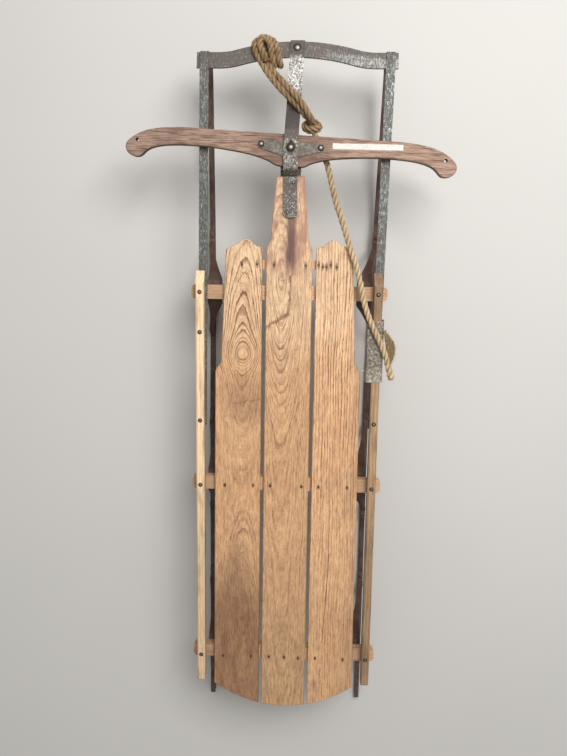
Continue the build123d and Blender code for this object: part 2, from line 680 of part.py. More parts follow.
def centre_strap():
    """Strap from the slat's tip, up over the steering bar and down to the bumper."""
    half = CENTRE_STRAP_THICKNESS / 2
    bumper_rear = BUMPER_REAR_LEAD + BUMPER_BOW
    path = FilletPolyline(
        (CENTRE_STRAP_REAR, DECK_TOP + half),
        (CENTRE_STRAP_STEP, DECK_TOP + half),
        (CENTRE_STRAP_LEDGE, PIVOT_STRAP_BOTTOM + half),
        (CENTRE_STRAP_DROP, PIVOT_STRAP_BOTTOM + half),
        (CENTRE_STRAP_LANDING, BENCH_TOP + CENTRE_STRAP_LANDING_HEIGHT + half),
        tilted_point(bumper_rear - 2 * BUMPER_REAR_LEAD, half),
        tilted_point(bumper_rear + BUMPER_WIDTH, half),
        radius=CENTRE_STRAP_BEND,
    )
    slab = side_solid(trace(path, CENTRE_STRAP_THICKNESS), 4 * CENTRE_STRAP_WIDTH)
    front = BUMPER_BEND + 2 * BUMPER_WIDTH
    lean = bumper_centre_x() / (bumper_rivet_station() - PIVOT_STATION)
    line = FilletPolyline(
        (0, CENTRE_STRAP_REAR - 1), (0, PIVOT_STATION), (lean * (front - PIVOT_STATION), front), radius=CENTRE_STRAP_SWAY_RADIUS
    )
    band = trace(line, CENTRE_STRAP_WIDTH)
    rear_corners = band.vertices().sort_by(Axis.Y)[:2]
    band = fillet(rear_corners, CENTRE_STRAP_END_RADIUS)
    solid = slab & plan_solid(band, 0, WIDE)
    for x, station in STRAP_RIVET_PLACES:
        solid -= Pos(x, station) * rivet_hole(STRAP_RIVET, DECK_TOP - 1, DECK_TOP + CENTRE_STRAP_THICKNESS + 1)
    solid -= Pos(0, PIVOT_STATION) * rivet_hole(PIVOT_RIVET, PIVOT_STRAP_BOTTOM - 1, WIDE)
    return solid - bumper_rivet_place() * rivet_hole(BUMPER_RIVET, -1, CENTRE_STRAP_THICKNESS + 1)


def bumper_rivet_station():
    return tilted_point(BUMPER_REAR_LEAD + BUMPER_BOW + BUMPER_WIDTH * 0.56).X


def lower_pivot_strap():
    """Plate under the slat's tip, cranked up to carry the steering bar."""
    half = LOWER_STRAP_THICKNESS / 2
    high = BAR_BOTTOM - PIVOT_GAP - half
    path = FilletPolyline(
        (LOWER_STRAP_REAR, BENCH_TOP - half),
        (LOWER_STRAP_CRANK, BENCH_TOP - half),
        (LOWER_STRAP_CRANK + 3 * LOWER_STRAP_THICKNESS, high),
        (LOWER_STRAP_FRONT, high),
        radius=LOWER_STRAP_THICKNESS,
    )
    slab = side_solid(trace(path, LOWER_STRAP_THICKNESS), 2 * LOWER_STRAP_WIDTH)
    length = LOWER_STRAP_FRONT - LOWER_STRAP_REAR
    outline = Pos(0, LOWER_STRAP_REAR + length / 2) * RectangleRounded(LOWER_STRAP_WIDTH, length, 14.0)
    solid = slab & plan_solid(outline, 0, WIDE)
    for x, station in STRAP_RIVET_PLACES:
        solid -= Pos(x, station) * rivet_hole(STRAP_RIVET, 0, BENCH_TOP + 1)
    return solid - Pos(0, PIVOT_STATION) * rivet_hole(PIVOT_RIVET, 0, BAR_BOTTOM)


def pivot_rivet():
    bottom = BAR_BOTTOM - PIVOT_GAP - LOWER_STRAP_THICKNESS
    top = PIVOT_STRAP_BOTTOM + CENTRE_STRAP_THICKNESS + TEARDROP_THICKNESS
    return Pos(0, PIVOT_STATION) * rivet_solid(PIVOT_RIVET, bottom, top)


def teardrop_washer():
    """Washer under the pivot's head, drawn out to a point at the front."""
    low = PIVOT_STRAP_BOTTOM + CENTRE_STRAP_THICKNESS
    point = Pos(0, TEARDROP_POINT - 2.0) * Circle(2.0)
    outline = make_hull((Circle(TEARDROP_RADIUS).edges() + point.edges()))
    solid = plan_solid(Pos(0, PIVOT_STATION) * outline, low, low + TEARDROP_THICKNESS)
    return solid - Pos(0, PIVOT_STATION) * rivet_hole(PIVOT_RIVET, low - 1, low + 10)


def strap_rivets():
    bottom = BENCH_TOP - LOWER_STRAP_THICKNESS
    top = DECK_TOP + CENTRE_STRAP_THICKNESS
    return Compound([Pos(x, station) * rivet_solid(STRAP_RIVET, bottom, top) for x, station in STRAP_RIVET_PLACES])


# Steering bar


def steering_place():
    return Pos(0, PIVOT_STATION, 0) * Rot(0, 0, STEERING_ANGLE)


def bar_outline():
    """Winged bar: straight front, hooked tips and a bulge behind the pivot."""
    wing = Spline(
        (BAR_STRAIGHT, BAR_FRONT), *BAR_WING, (0, -BAR_REAR_BULGE), tangents=[(1, 0), (-1, 0)]
    )
    right = [Line((0, BAR_FRONT), (BAR_STRAIGHT, BAR_FRONT)), wing]
    return make_face(right + [mirror(edge, about=Plane.YZ) for edge in right])


def steering_bar():
    solid = plan_solid(bar_outline(), BAR_BOTTOM, BAR_TOP)
    rims = solid.edges().filter_by_position(Axis.Z, BAR_TOP - 0.01, BAR_TOP + 0.01)
    rims += solid.edges().filter_by_position(Axis.Z, BAR_BOTTOM - 0.01, BAR_BOTTOM + 0.01)
    solid = fillet(rims, BAR_EDGE)
    solid -= Pos(0, 0, BAR_BOTTOM) * Cylinder(PIVOT_RADIUS + PIVOT_RUNNING_CLEARANCE, 3 * BAR_THICKNESS)
    for end in SIDES.values():
        solid -= Pos(end * TOW_HOLE_X, TOW_HOLE_Y, BAR_BOTTOM) * Cylinder(TOW_HOLE_RADIUS, 3 * BAR_THICKNESS)
        solid -= Pos(end * PLATE_RIVET_X, PLATE_RIVET_Y) * rivet_hole(PLATE_RIVET, BAR_BOTTOM - 1, BAR_TOP + 1)
    return steering_place() * solid


def steering_plate():
    """Lozenge wear plate that the centre strap crosses."""
    ends = [(Pos(end * PLATE_RIVET_X, PLATE_RIVET_Y) * Circle(PLATE_END_RADIUS)).edges() for end in SIDES.values()]
    front = PLATE_RIVET_Y + PLATE_END_RADIUS
    length = 2 * PLATE_WAIST_HALF_LENGTH
    middle = Pos(0, (front - PLATE_REAR) / 2) * Rectangle(length, front + PLATE_REAR)
    outline = make_hull(ends[0] + ends[1] + middle.edges())
    solid = plan_solid(outline, BAR_TOP, PLATE_TOP)
    solid -= Pos(0, 0, BAR_TOP) * Cylinder(PIVOT_RADIUS + PIVOT_RUNNING_CLEARANCE, 20)
    for end in SIDES.values():
        solid -= Pos(end * PLATE_RIVET_X, PLATE_RIVET_Y) * rivet_hole(PLATE_RIVET, BAR_TOP - 1, PLATE_TOP + 1)
    return steering_place() * solid


def plate_rivets():
    solid = rivet_solid(PLATE_RIVET, BAR_BOTTOM, PLATE_TOP)
    return Compound([steering_place() * Pos(end * PLATE_RIVET_X, PLATE_RIVET_Y) * solid for end in SIDES.values()])


# Rope


def corner_radii(route):
    """Arc radius at each inner point: 0.45 of the shorter run over the tangent of half the turn."""
    points = [Vector(*point) for point in route]
    radii = []
    for before, here, after in zip(points, points[1:], points[2:]):
        run = min((here - before).length, (after - here).length)
        turn = math.radians((here - before).get_angle(after - here))
        radii.append(0.45 * run / math.tan(turn / 2))
    return radii


def rope_tube(name, route, radius):
    """Round tube along straight runs joined by tangent arcs."""
    radii = corner_radii(route)
    path = FilletPolyline(*route, radius=radii)
    section = Plane(origin=path @ 0, z_dir=path % 0) * Circle(radius)
    tube = sweep(section, path=path)
    wanted = math.pi * radius**2 * path.length
    print(name, "length", round(path.length, 1), "radii", [round(value) for value in radii])
    print(name, "volume over section times length", round(tube.volume / wanted, 4))
    return tube


def rope_wrap():
    """Outer shape of the turns round the bumper."""
    thick = WRAP_THICKNESS
    outer = RectangleRounded(BUMPER_WIDTH + 2 * thick, BUMPER_THICKNESS + 2 * thick, thick)
    slot = Rectangle(BUMPER_WIDTH + 8 * WRAP_CLEARANCE, BUMPER_THICKNESS + 2 * WRAP_CLEARANCE)
    ring = side_solid(outer - slot, WRAP_LENGTH)
    reach = WRAP_X - bumper_centre_x()
    bow = BUMPER_BOW - BUMPER_CROWN_RADIUS + math.sqrt(BUMPER_CROWN_RADIUS**2 - reach**2)
    forward = BUMPER_REAR_LEAD + bow + BUMPER_WIDTH / 2
    slope = math.degrees(math.asin(-reach / BUMPER_CROWN_RADIUS))
    return on_bumper(WRAP_X, forward) * Pos(0, 0, -BUMPER_THICKNESS / 2) * Rot(0, 0, slope) * ring


def rope_knot():
    """Outer shape of the stopper knot, fat in the middle."""
    half = KNOT_LENGTH / 2
    end_radius = KNOT_RADIUS * 0.55
    belly = half * 0.45
    outline = Polygon(
        (-half, 0), (-half, end_radius), (-belly, KNOT_RADIUS), (belly, KNOT_RADIUS), (half, end_radius), (half, 0),
        align=None,
    )
    return Pos(*KNOT_CENTRE) * revolve(outline, axis=Axis.X)


def sled_nodes():
    """Every node by name, in stations."""
    nodes = {"slat_centre": slat_centre(), "front_cleat": front_cleat(), "repair_sleeve": repair_sleeve()}
    for place, station in BENCHES.items():
        nodes[f"bench_{place}"] = bench(station)
    for side in SIDES:
        nodes[f"slat_{side}"] = slat_side(side)
        nodes[f"rail_{side}"] = rail(side)
        nodes[f"rail_rivets_{side}"] = rail_rivets(side)
        nodes[f"runner_{side}"] = runner(side)
        nodes[f"return_strap_{side}"] = return_strap(side)
        nodes[f"knee_rivets_{side}"] = knee_rivets(side)
        for place, station in BENCHES.items():
            nodes[f"knee_{place}_{side}"] = knee(side, station)
    nodes["bumper_bar"] = bumper_bar()
    nodes["bumper_end_rivets"] = bumper_end_rivets()
    nodes["bumper_rivet"] = bumper_rivet()
    nodes["centre_strap"] = centre_strap()
    nodes["lower_pivot_strap"] = lower_pivot_strap()
    nodes["pivot_rivet"] = pivot_rivet()
    nodes["teardrop_washer"] = teardrop_washer()
    nodes["strap_rivets"] = strap_rivets()
    nodes["steering_bar"] = steering_bar()
    nodes["steering_plate"] = steering_plate()
    nodes["plate_rivets"] = plate_rivets()
    nodes["rope_wrap"] = rope_wrap()
    nodes["rope_doubled"] = rope_tube("rope_doubled", DOUBLED_ROUTE, DOUBLED_RADIUS)
    nodes["rope_knot"] = rope_knot()
    nodes["rope_run"] = rope_tube("rope_run", RUN_ROUTE, ROPE_RADIUS)
    return nodes


def main():
    os.makedirs("parts", exist_ok=True)
    nodes = sled_nodes()
    bumper_front = nodes["bumper_bar"].bounding_box().max.Y
    middle = (bumper_front + RUNNER_TAIL) / 2
    print("length", round(bumper_front - RUNNER_TAIL, 1), "origin station", round(middle, 2))
    for name, solid in nodes.items():
        export_step(Pos(0, -middle, 0) * solid, f"parts/{name}.step")


main()
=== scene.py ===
# %% [markdown]
# # An old runner sled
# The frame comes first: every solid of the sled, at its real place, standing on its runners. All that follows
# is placed in the frame's own coordinates, so nothing has to be fitted to it afterwards.

# %% Load the frame
import math

import bpy
import numpy as np
from mathutils import Matrix, Vector


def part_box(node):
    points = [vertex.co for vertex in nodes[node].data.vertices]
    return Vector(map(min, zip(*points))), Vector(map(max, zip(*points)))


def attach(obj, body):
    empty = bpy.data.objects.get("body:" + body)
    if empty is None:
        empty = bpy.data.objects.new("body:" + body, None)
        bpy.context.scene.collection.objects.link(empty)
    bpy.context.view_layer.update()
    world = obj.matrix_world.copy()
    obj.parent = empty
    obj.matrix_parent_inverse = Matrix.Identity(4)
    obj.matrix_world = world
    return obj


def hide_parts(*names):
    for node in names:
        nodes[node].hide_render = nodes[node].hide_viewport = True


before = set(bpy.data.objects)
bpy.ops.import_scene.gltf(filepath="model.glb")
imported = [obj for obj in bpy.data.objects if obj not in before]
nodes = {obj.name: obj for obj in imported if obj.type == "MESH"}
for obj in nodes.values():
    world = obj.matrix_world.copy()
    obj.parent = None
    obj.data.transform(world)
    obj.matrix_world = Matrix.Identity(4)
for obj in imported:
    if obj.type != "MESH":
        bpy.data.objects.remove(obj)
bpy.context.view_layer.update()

# %% [markdown]
# Along the sled a place is a station: millimetres ahead of the deck's tail. The frame's own origin
# lies at one station near the middle, so a station turns into a Y coordinate with one subtraction.

# %% Stations
ORIGIN_STATION = 714.11
DECK_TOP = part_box("slat_centre")[1].z
BAR_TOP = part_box("steering_bar")[1].z
CHANCE_SEED = 11
chance = np.random.default_rng(CHANCE_SEED)


def placed(points):
    """Rows of (x, station, height) in millimetres, as rows of (x, y, z) in metres."""
    return (np.asarray(points, float) - (0, ORIGIN_STATION, 0)) / 1000


print("deck top", round(DECK_TOP, 4), "bar top", round(BAR_TOP, 4))

# %% [markdown]
# ## Camera
# The photograph looks down on the deck from a little ahead of its middle, so the camera hangs over the
# sled with the bumper at the top of the picture. Its place and its turns, in degrees, were solved from points
# on the rails, the deck and the steering bar.

# %% Camera
IMAGE_HEIGHT = 756
FOCAL_PIXELS = 700.0
SENSOR = 36.0
CAMERA_PLACE = (0.048, 0.345, 1.725)
CAMERA_TURNS = (9.45, -2.08, -1.2)
CAMERA_FAR = 50.0


def photo_camera():
    """A camera whose world-to-lens rotation is a turn about X, then Y, then Z."""
    about_x, about_y, about_z = (
        Matrix.Rotation(math.radians(turn), 3, axis) for turn, axis in zip(CAMERA_TURNS, "XYZ")
    )
    to_lens = about_z @ about_y @ about_x
    data = bpy.data.cameras.new("photo_camera")
    data.sensor_fit = "VERTICAL"
    data.sensor_height = SENSOR
    data.lens = FOCAL_PIXELS / IMAGE_HEIGHT * SENSOR
    data.clip_end = CAMERA_FAR
    camera = bpy.data.objects.new("photo_camera", data)
    camera.matrix_world = Matrix.Translation(CAMERA_PLACE) @ to_lens.transposed().to_4x4()
    bpy.context.scene.collection.objects.link(camera)
    bpy.context.scene.camera = camera
    return camera


print("lens", round(photo_camera().data.lens, 1), "mm")

# %% [markdown]
# ## Shader sums
# A finish is a sum of small patterns: rings, streaks, stains, specks. Written as node calls such a sum is
# hard to read, so a value wraps one socket and takes part in ordinary Python arithmetic instead.

# %% A value that changes over a surface
class Value:
    """One socket of a node tree, which can be added, subtracted, multiplied and divided."""

    def __init__(self, finish, socket):
        self.finish, self.socket = finish, socket

    def sum(self, operation, *others):
        """One Math node: the operation on this value and the others, in that order."""
        return self.finish.node("ShaderNodeMath", {"operation": operation}, dict(enumerate((self, *others))))

    def __add__(self, other):
        return self.sum("ADD", other)

    def __sub__(self, other):
        return self.sum("SUBTRACT", other)

    def __mul__(self, other):
        return self.sum("MULTIPLY", other)

    def __truediv__(self, other):
        return self.sum("DIVIDE", other)

    def __rsub__(self, other):
        return self * -1 + other

    __radd__ = __add__
    __rmul__ = __mul__


# %% [markdown]
# A finish is one material. Patterns that change over the surface feed colour, roughness, metal and the bump,
# and everything that stays the same is set on the shader's own sockets. Most patterns are noise stretched to
# a size in millimetres: lumps fill space, and blots are the same at every height, as stains in a board are.

# %% A finish and its nodes
def tone(red, green, blue):
    """A colour given as it looks on a screen, 0 to 255, turned into the linear values a shader works in."""
    steps = np.array((red, green, blue)) / 255
    linear = np.where(steps <= 0.04045, steps / 12.92, ((steps + 0.055) / 1.055) ** 2.4)
    return (*(float(step) for step in linear), 1.0)


class Finish:
    """One material: its node tree, its places in millimetres, and one way to add any node."""

    def __init__(self, name, specular):
        self.material = bpy.data.materials.new(name)
        self.material.use_nodes = True
        self.tree = self.material.node_tree
        self.shader = self.tree.nodes["Principled BSDF"]
        self.shader.inputs["Specular IOR Level"].default_value = specular
        place = self.node("ShaderNodeTexCoord", output="Object")
        normal = self.node("ShaderNodeTexCoord", output="Normal")
        x, y, z = self.parts(place)
        self.x, self.s, self.z = x * 1000, y * 1000 + ORIGIN_STATION, z * 1000
        self.facing = self.parts(normal)

    def node(self, kind, settings=None, values=None, output=0):
        """Any node: its settings first, then a number, colour or value on each socket; returns one output."""
        node = self.tree.nodes.new(kind)
        for name, setting in (settings or {}).items():
            setattr(node, name, setting)
        for socket, value in (values or {}).items():
            if isinstance(value, Value):
                self.tree.links.new(value.socket, node.inputs[socket])
            else:
                node.inputs[socket].default_value = value
        return Value(self, node.outputs[output])

    def parts(self, vector):
        """The three numbers of a vector."""
        first = self.node("ShaderNodeSeparateXYZ", values={0: vector})
        return [Value(self, output) for output in first.socket.node.outputs]

    def vector(self, x, y, z):
        """Three numbers or values as one vector."""
        return self.node("ShaderNodeCombineXYZ", values={0: x, 1: y, 2: z})

    def noise(self, vector, detail=2.0, rough=0.5, twist=0.0):
        """Smooth chance between 0 and 1, one lump per unit of the vector."""
        return self.node("ShaderNodeTexNoise", values={
            "Vector": vector, "Scale": 1.0, "Detail": detail, "Roughness": rough, "Distortion": twist,
        })

    def lumps(self, wide, long, tall, detail=2.0, rough=0.5, twist=0.0):
        """Noise in lumps so many millimetres wide, long and tall."""
        return self.noise(self.vector(self.x / wide, self.s / long, self.z / tall), detail, rough, twist)

    def blots(self, wide, long, layer, detail=2.0, rough=0.5):
        """Noise in blots so many millimetres wide and long; each layer is a pattern of its own."""
        return self.noise(self.vector(self.x / wide, self.s / long, layer), detail, rough)

    def step(self, value, low, high):
        """0 below low, 1 above high and an S-curve between; low may be the larger one."""
        ends = {0: value, 1: low, 2: high, 3: 0.0, 4: 1.0}
        return self.node("ShaderNodeMapRange", {"interpolation_type": "SMOOTHSTEP"}, ends)

    def mix(self, amount, colour, other):
        """The first colour, turned into the other by amount."""
        return self.node("ShaderNodeMix", {"data_type": "RGBA"}, {0: amount, 6: colour, 7: other}, output=2)

    def shaded(self, colour, factor):
        """A colour times a number."""
        start = colour if isinstance(colour, Value) else colour[:3]
        return self.node("ShaderNodeVectorMath", {"operation": "SCALE"}, {0: start, 3: factor})

    def stained(self, amount, colour, stain, share, factor):
        """The colour, turned by amount into itself mixed with a share of the stain, times a factor."""
        return self.mix(amount, colour, self.shaded(self.mix(share, colour, stain), factor))

    def done(self, colour, rough=None, metal=None, height=None, depth=0.0004, strength=0.5):
        """Feeds the shader. The height, 0 to 1, becomes a bump of that depth in metres."""
        fed = {"Base Color": colour, "Roughness": rough, "Metallic": metal}
        if height is not None:
            bump = {"Strength": strength, "Distance": depth, "Height": height}
            fed["Normal"] = self.node("ShaderNodeBump", values=bump)
        for socket, value in fed.items():
            if isinstance(value, Value):
                self.tree.links.new(value.socket, self.shader.inputs[socket])
        return self.material


def coat(material, *pieces):
    """Gives CAD nodes their finish; their meshes stay as they are."""
    for piece in pieces:
        nodes[piece].data.materials.clear()
        nodes[piece].data.materials.append(material)


# %% [markdown]
# ## Wood
# A board is a slice through a stack of cones, the growth rings. Where the slice runs deeper into the cones
# the rings close into arches, and where its depth turns round they close into eyes. So one pattern serves
# every board: the distance from the heart of the tree, which lies below the face at a depth that changes
# along the board.

# %% Growth rings
def distance(across, along):
    """The root of across squared plus along squared; one of the two may be a number."""
    return (across * across + along * along).sum("SQRT")


def ring_number(across, depth, width):
    """Distance from the heart over one ring's width."""
    return distance(across, depth) / width


def year_line(f, ring):
    """Darker through each year and sharp at its end: a saw tooth with a rounded edge. Good and bad years
    differ in width, so the ring number first wanders by a slow noise of itself."""
    uneven = f.noise(f.vector(ring * 0.33, 0.0, 0.0)) * 2.4 + ring
    year = uneven.sum("FRACT")
    return f.step(year, 0.45, 0.97) * f.step(year, 1.0, 0.965)


def timber(f, ring, light, dark, contrast):
    """Colour and height of bare wood: year lines in broad bands of good and bad years, fibre streaks along
    the grain, short pores and dark ticks. contrast, 0 to 1, is how plainly the year lines show."""
    line = year_line(f, ring)
    streak = f.noise(f.vector(ring * 2.6, f.s / 80, f.z / 9), 4.0, 0.68)
    pore = f.step(f.noise(f.vector(ring * 9.0, f.s / 18, f.z / 2), 2.0, 0.6), 0.55, 0.66)
    tick = f.step(f.noise(f.vector(ring * 2.0, f.s / 22, f.z / 5), 3.0, 0.75), 0.54, 0.68)
    band = f.noise(f.vector(ring * 0.62, f.s / 150, 2.0), 3.0, 0.62)
    figure = line * (f.step(streak, 0.25, 0.6) * 0.6 + 0.4) * contrast
    amount = figure + (streak - 0.5) * 1.65 + (band - 0.5) * 1.2
    colour = f.mix(amount + pore * (line * 0.4 + 0.12) + tick * 0.32, light, dark)
    height = 1 - (line * 0.5 + pore * 0.3 + tick * 0.2)
    return colour, height


def spot(f, x, s, at, reach_x, reach_s):
    """1 at a place on the deck, falling to 0 at the edge of an oval."""
    across, along = (x - at[0]) / reach_x, (s - at[1]) / reach_s
    return f.step(across * across + along * along, 1.0, 0.15)


def stroke(f, x, s, start, end, half):
    """1 on the line from start to end, falling to 0 at half a width from it: the distance from a point to its
    nearest place on the line, which lies as far along as the point's shadow does."""
    run = end[0] - start[0], end[1] - start[1]
    length = run[0] ** 2 + run[1] ** 2
    share = ((x - start[0]) * run[0] + (s - start[1]) * run[1]) / length
    share = share.sum("MAXIMUM", 0.0).sum("MINIMUM", 1.0)
    return f.step(distance(x - start[0] - share * run[0], s - start[1] - share * run[1]), half, half * 0.3)


# %% [markdown]
# The slats are nailed to the benches. Iron in wet wood leaves a dark halo that runs with the grain, so the
# nails' places are needed twice: for the heads and for the stains.

# %% Nail places
NAILS = {
    "slat_left": ((-103, 1052), (-70, 1053), (-140, 551), (-75, 552), (-144, 126), (-77, 127)),
    "slat_centre": ((-33, 1052), (36, 1051), (-36, 552), (36, 552), (-34, 127), (2, 127), (36, 126)),
    "slat_right": (
        (64, 1053), (73, 1049), (81, 1049), (90, 1053), (103, 1049), (75, 552), (140, 552), (76, 127),
        (142, 126),
    ),
}
print("nails", sum(len(places) for places in NAILS.values()))

# %% [markdown]
# The deck is open-grained timber under old worn varnish: honey-coloured at the front, browner and duller
# towards the tail, where it was sat on. Painting such boards by hand would take an image for each, so they
# are sums of patterns instead, and each slat's own figure comes from its own depth of the heart.

# %% A deck slat's finish
HONEY, TAN, DULL = tone(234, 197, 156), tone(216, 170, 126), tone(202, 160, 118)
LINE_BROWN, RUST_BROWN, NAIL_BLACK = tone(128, 86, 56), tone(158, 116, 98), tone(92, 60, 46)
LEAN_STATION = 700
FRONT_NAILS_FROM = 900


def deck_slat(name, heart, depth, width, clear, fade, knots=(), wear=(), cracks=(), lean=0.0, pale=1.0):
    """A slat's finish. heart is the x of the heart's line at one station, from where it leans; depth is a
    function of the finish; clear is how plainly the year lines show behind and ahead of the two stations of
    fade; knots are (x, station, size, push), wear is (mask function, colour, amount), cracks are (start, end,
    half a width) and pale is a factor on the whole colour."""
    f = Finish(name + "_wood", specular=0.35)
    slow = f.blots(70, 260, 1.7) - 0.5
    quick = f.blots(11, 60, 4.1, 3.0, 0.6) - 0.5
    jagged = f.blots(2.6, 13, 7.7, 2.0, 0.6) - 0.5
    below_top = DECK_TOP * 1000 - f.z
    ring = ring_number(f.x - heart - (f.s - LEAN_STATION) * lean, depth(f) + below_top, width)
    ring = ring + slow * 2.6 + quick * 0.55 + jagged * 0.42
    for x, station, size, push in knots:
        ring = ring + spot(f, f.x, f.s, (x, station), size, size * 2.2) * push
    patch = f.blots(45, 150, 8.3, 3.0, 0.55)
    drift = f.s + (patch - 0.5) * 300
    light = f.mix(f.step(drift, 1000, 760), HONEY, TAN)
    light = f.mix(f.step(drift, 460, 140), light, DULL)
    contrast = f.step(f.s, *fade) * (clear[1] - clear[0]) + clear[0]
    colour, height = timber(f, ring, light, LINE_BROWN, contrast)
    colour = f.stained(f.step(patch, 0.50, 0.72) * 0.35, colour, tone(190, 128, 82), 0.5, 0.92)
    grime = f.step(f.blots(4.5, 24, 9.1, 4.0, 0.75), 0.30, 0.70)
    blotch = f.step(f.blots(24, 60, 6.6, 3.0, 0.6), 0.42, 0.72)
    colour = f.stained(blotch * 0.42, colour, RUST_BROWN, 0.45, 0.88)
    colour = f.shaded(colour, (1.23 - grime * 0.46) * pale)
    for mask, stain, amount in wear:
        colour = f.mix(mask(f) * amount, colour, stain)
    for start, end, half in cracks:
        crack = stroke(f, f.x + quick * 3.0, f.s, start, end, half)
        colour = f.mix(crack * 0.75, colour, tone(74, 46, 32))
        height = height - crack * 0.8
    for place in NAILS[name]:
        halo_length = 12.0 if place[1] > FRONT_NAILS_FROM else 8.0
        halo = spot(f, f.x + quick * 4.0, f.s, place, 4.2, halo_length)
        colour = f.mix(halo * 0.66, colour, NAIL_BLACK)
    slanted = f.vector((f.x + f.s * 0.21) / 2.0, (f.s - f.x * 0.2) / 95, 2.2)
    scratch = f.step(f.noise(slanted, 2.0, 0.7), 0.66, 0.74)
    colour = f.mix(scratch * 0.16, colour, tone(250, 226, 190))
    # Upright faces are darker: the end grain is darker wood, and on the long edges this is painted shade.
    side = 1 - f.facing[2].sum("ABSOLUTE")
    colour = f.shaded(colour, 1 - side * 0.42)
    rough = patch * 0.25 + 0.42 + height * 0.08
    return f.done(colour, rough=rough, height=height + scratch * 0.3, depth=0.0005, strength=0.55)


# %% [markdown]
# The figure of a slat is how deep the heart lies along it. The left slat has a round eye near its front and a
# long one near its tail, the centre slat one small eye with arches behind it, and the right slat has none.

# %% How deep the heart lies
FRONT_EYE, TAIL_EYE, SMALL_EYE = 855, 236, 1018


def away(f, station, least):
    """Distance along the slat from a station, rounded off at least."""
    return distance(f.s - station, least)


def left_depth(f):
    """Two eyes: the depth grows away from each, and the nearer one counts. Close to the front eye it grows
    faster, so that the rings there close into near-round ovals."""
    front = away(f, FRONT_EYE, 10)
    nearer = front.sum("SMOOTH_MIN", away(f, TAIL_EYE, 26), 60.0)
    close = front.sum("SMOOTH_MIN", 48.0, 30.0) * 0.24
    behind = f.step(f.s, FRONT_EYE, FRONT_EYE - 40) * 3.5
    return nearer * 0.095 + close + behind + 17


def centre_depth(f):
    """Quick growth over the first 330 mm from the small eye, then slow growth to the tail."""
    run = away(f, SMALL_EYE, 8)
    return run.sum("SMOOTH_MIN", 330.0, 60.0) * 0.10 + run * 0.03 + 11


def right_depth(f):
    """The heart lies far to one side, so the depth hardly matters and the lines run straight."""
    return (f.s - 500) * 0.02 + 60


# %% [markdown]
# Wear is what long use adds on top. Most marks have a ragged edge, because a noise of their own pushes the
# places from which the mask, 0 to 1, is worked out.

# %% Marks of wear
def purple_patch(f):
    """From a pointed front, which follows the arches of the figure, all the way to the tail."""
    mottle = f.blots(20, 80, 5.5, 4.0, 0.65)
    edge = f.s + (f.x + 112).sum("ABSOLUTE") * 1.6 + (mottle - 0.5) * 190
    return f.step(edge, 480, 290) * (f.step(mottle, 0.30, 0.66) * 0.45 + 0.55)


def strap_stain(f):
    """A dark band behind the end of the centre strap, fading backwards."""
    mottle = f.blots(7, 50, 6.5, 3.0, 0.6)
    band = stroke(f, f.x + (mottle - 0.5) * 14, f.s, (3, 1190), (4, 1010), 15)
    return band * f.step(f.s + (mottle - 0.5) * 70, 1015, 1075) * (mottle * 0.5 + 0.72)


def smudge(f):
    """A short dark mark across the left slat behind its eye, in a wider shade."""
    mottle = f.blots(9, 9, 13.5, 4.0, 0.7) - 0.5
    mark = stroke(f, f.x, f.s + mottle * 16, (-118, 743), (-62, 753), 5.0)
    shade = spot(f, f.x + mottle * 30, f.s + mottle * 60, (-92, 752), 62, 78)
    return mark.sum("MAXIMUM", shade * 0.62) * (mottle + 0.9)


def front_dull(f):
    """The right slat grows a little duller towards its front end."""
    return f.step(f.s, 880, 1040)


def neck_flush(f):
    """The narrow front of the centre slat has turned reddish round the strap."""
    mottle = f.blots(16, 45, 12.5, 4.0, 0.65)
    return f.step(f.s + (mottle - 0.5) * 120, 990, 1100) * f.step(mottle, 0.34, 0.60)


def resin_line(f):
    """A dark seam in two strokes: down the centre slat, then slanting to its left edge."""
    mottle = f.blots(8, 12, 2.5, 4.0, 0.7) - 0.5
    x, s = f.x + mottle * 16, f.s + mottle * 34
    down = stroke(f, x, s, (4, 1030), (1, 945), 4.0)
    return down.sum("MAXIMUM", stroke(f, x, s, (1, 948), (-50, 914), 6.0)) * (mottle * 1.2 + 0.75)


def shoulder_grey(f):
    """Greyed and darker where hands and weather reached the outer edge."""
    mottle = f.blots(18, 70, 3.5, 3.0, 0.6)
    return f.step(f.x + (mottle - 0.5) * 40, 118, 160) * mottle


# %% [markdown]
# Each slat is one row of choices: where its heart lies, how plainly its figure shows, and its own marks.

# %% The three slats
SLAT_FINISHES = {
    "slat_left": dict(
        heart=-98, depth=left_depth, width=3.3, clear=(0.20, 0.92), fade=(720, 880), pale=0.92,
        knots=((-113, 291, 9, 1.6), (-134, 690, 6, 0.9)),
        wear=((purple_patch, tone(106, 68, 48), 0.72), (smudge, tone(110, 76, 56), 0.62)),
    ),
    "slat_centre": dict(
        heart=-13, depth=centre_depth, width=3.0, clear=(0.24, 0.48), fade=(480, 760), pale=0.90, lean=-0.012,
        knots=((-16, 1028, 6, 1.2), (14, 860, 7, 0.9)),
        wear=(
            (neck_flush, tone(156, 110, 94), 0.74), (strap_stain, tone(100, 70, 66), 0.95),
            (resin_line, tone(98, 60, 44), 0.8),
        ),
    ),
    "slat_right": dict(
        heart=-178, depth=right_depth, width=6.2, clear=(0.42, 0.88), fade=(300, 820), pale=1.06, lean=0.004,
        knots=((101, 352, 5, 0.9), (118, 880, 8, 0.4)),
        wear=((shoulder_grey, tone(142, 106, 84), 0.5), (front_dull, tone(150, 114, 84), 0.22)),
        cracks=(((103, 392), (92, 168), 1.3),),
    ),
}
for slat, choices in SLAT_FINISHES.items():
    coat(deck_slat(slat, **choices), slat)
print("slats finished", len(SLAT_FINISHES))

# %% [markdown]
# Benches, rails and the steering bar are plainer sticks, sawn with their grain along their length. Their
# rings are circles about a heart that lies beside the stick, which also draws the end grain rightly.

# %% Benches, rails and steering bar
SLAT_GAP = 54.5
BAR_TURN = math.radians(3.3)


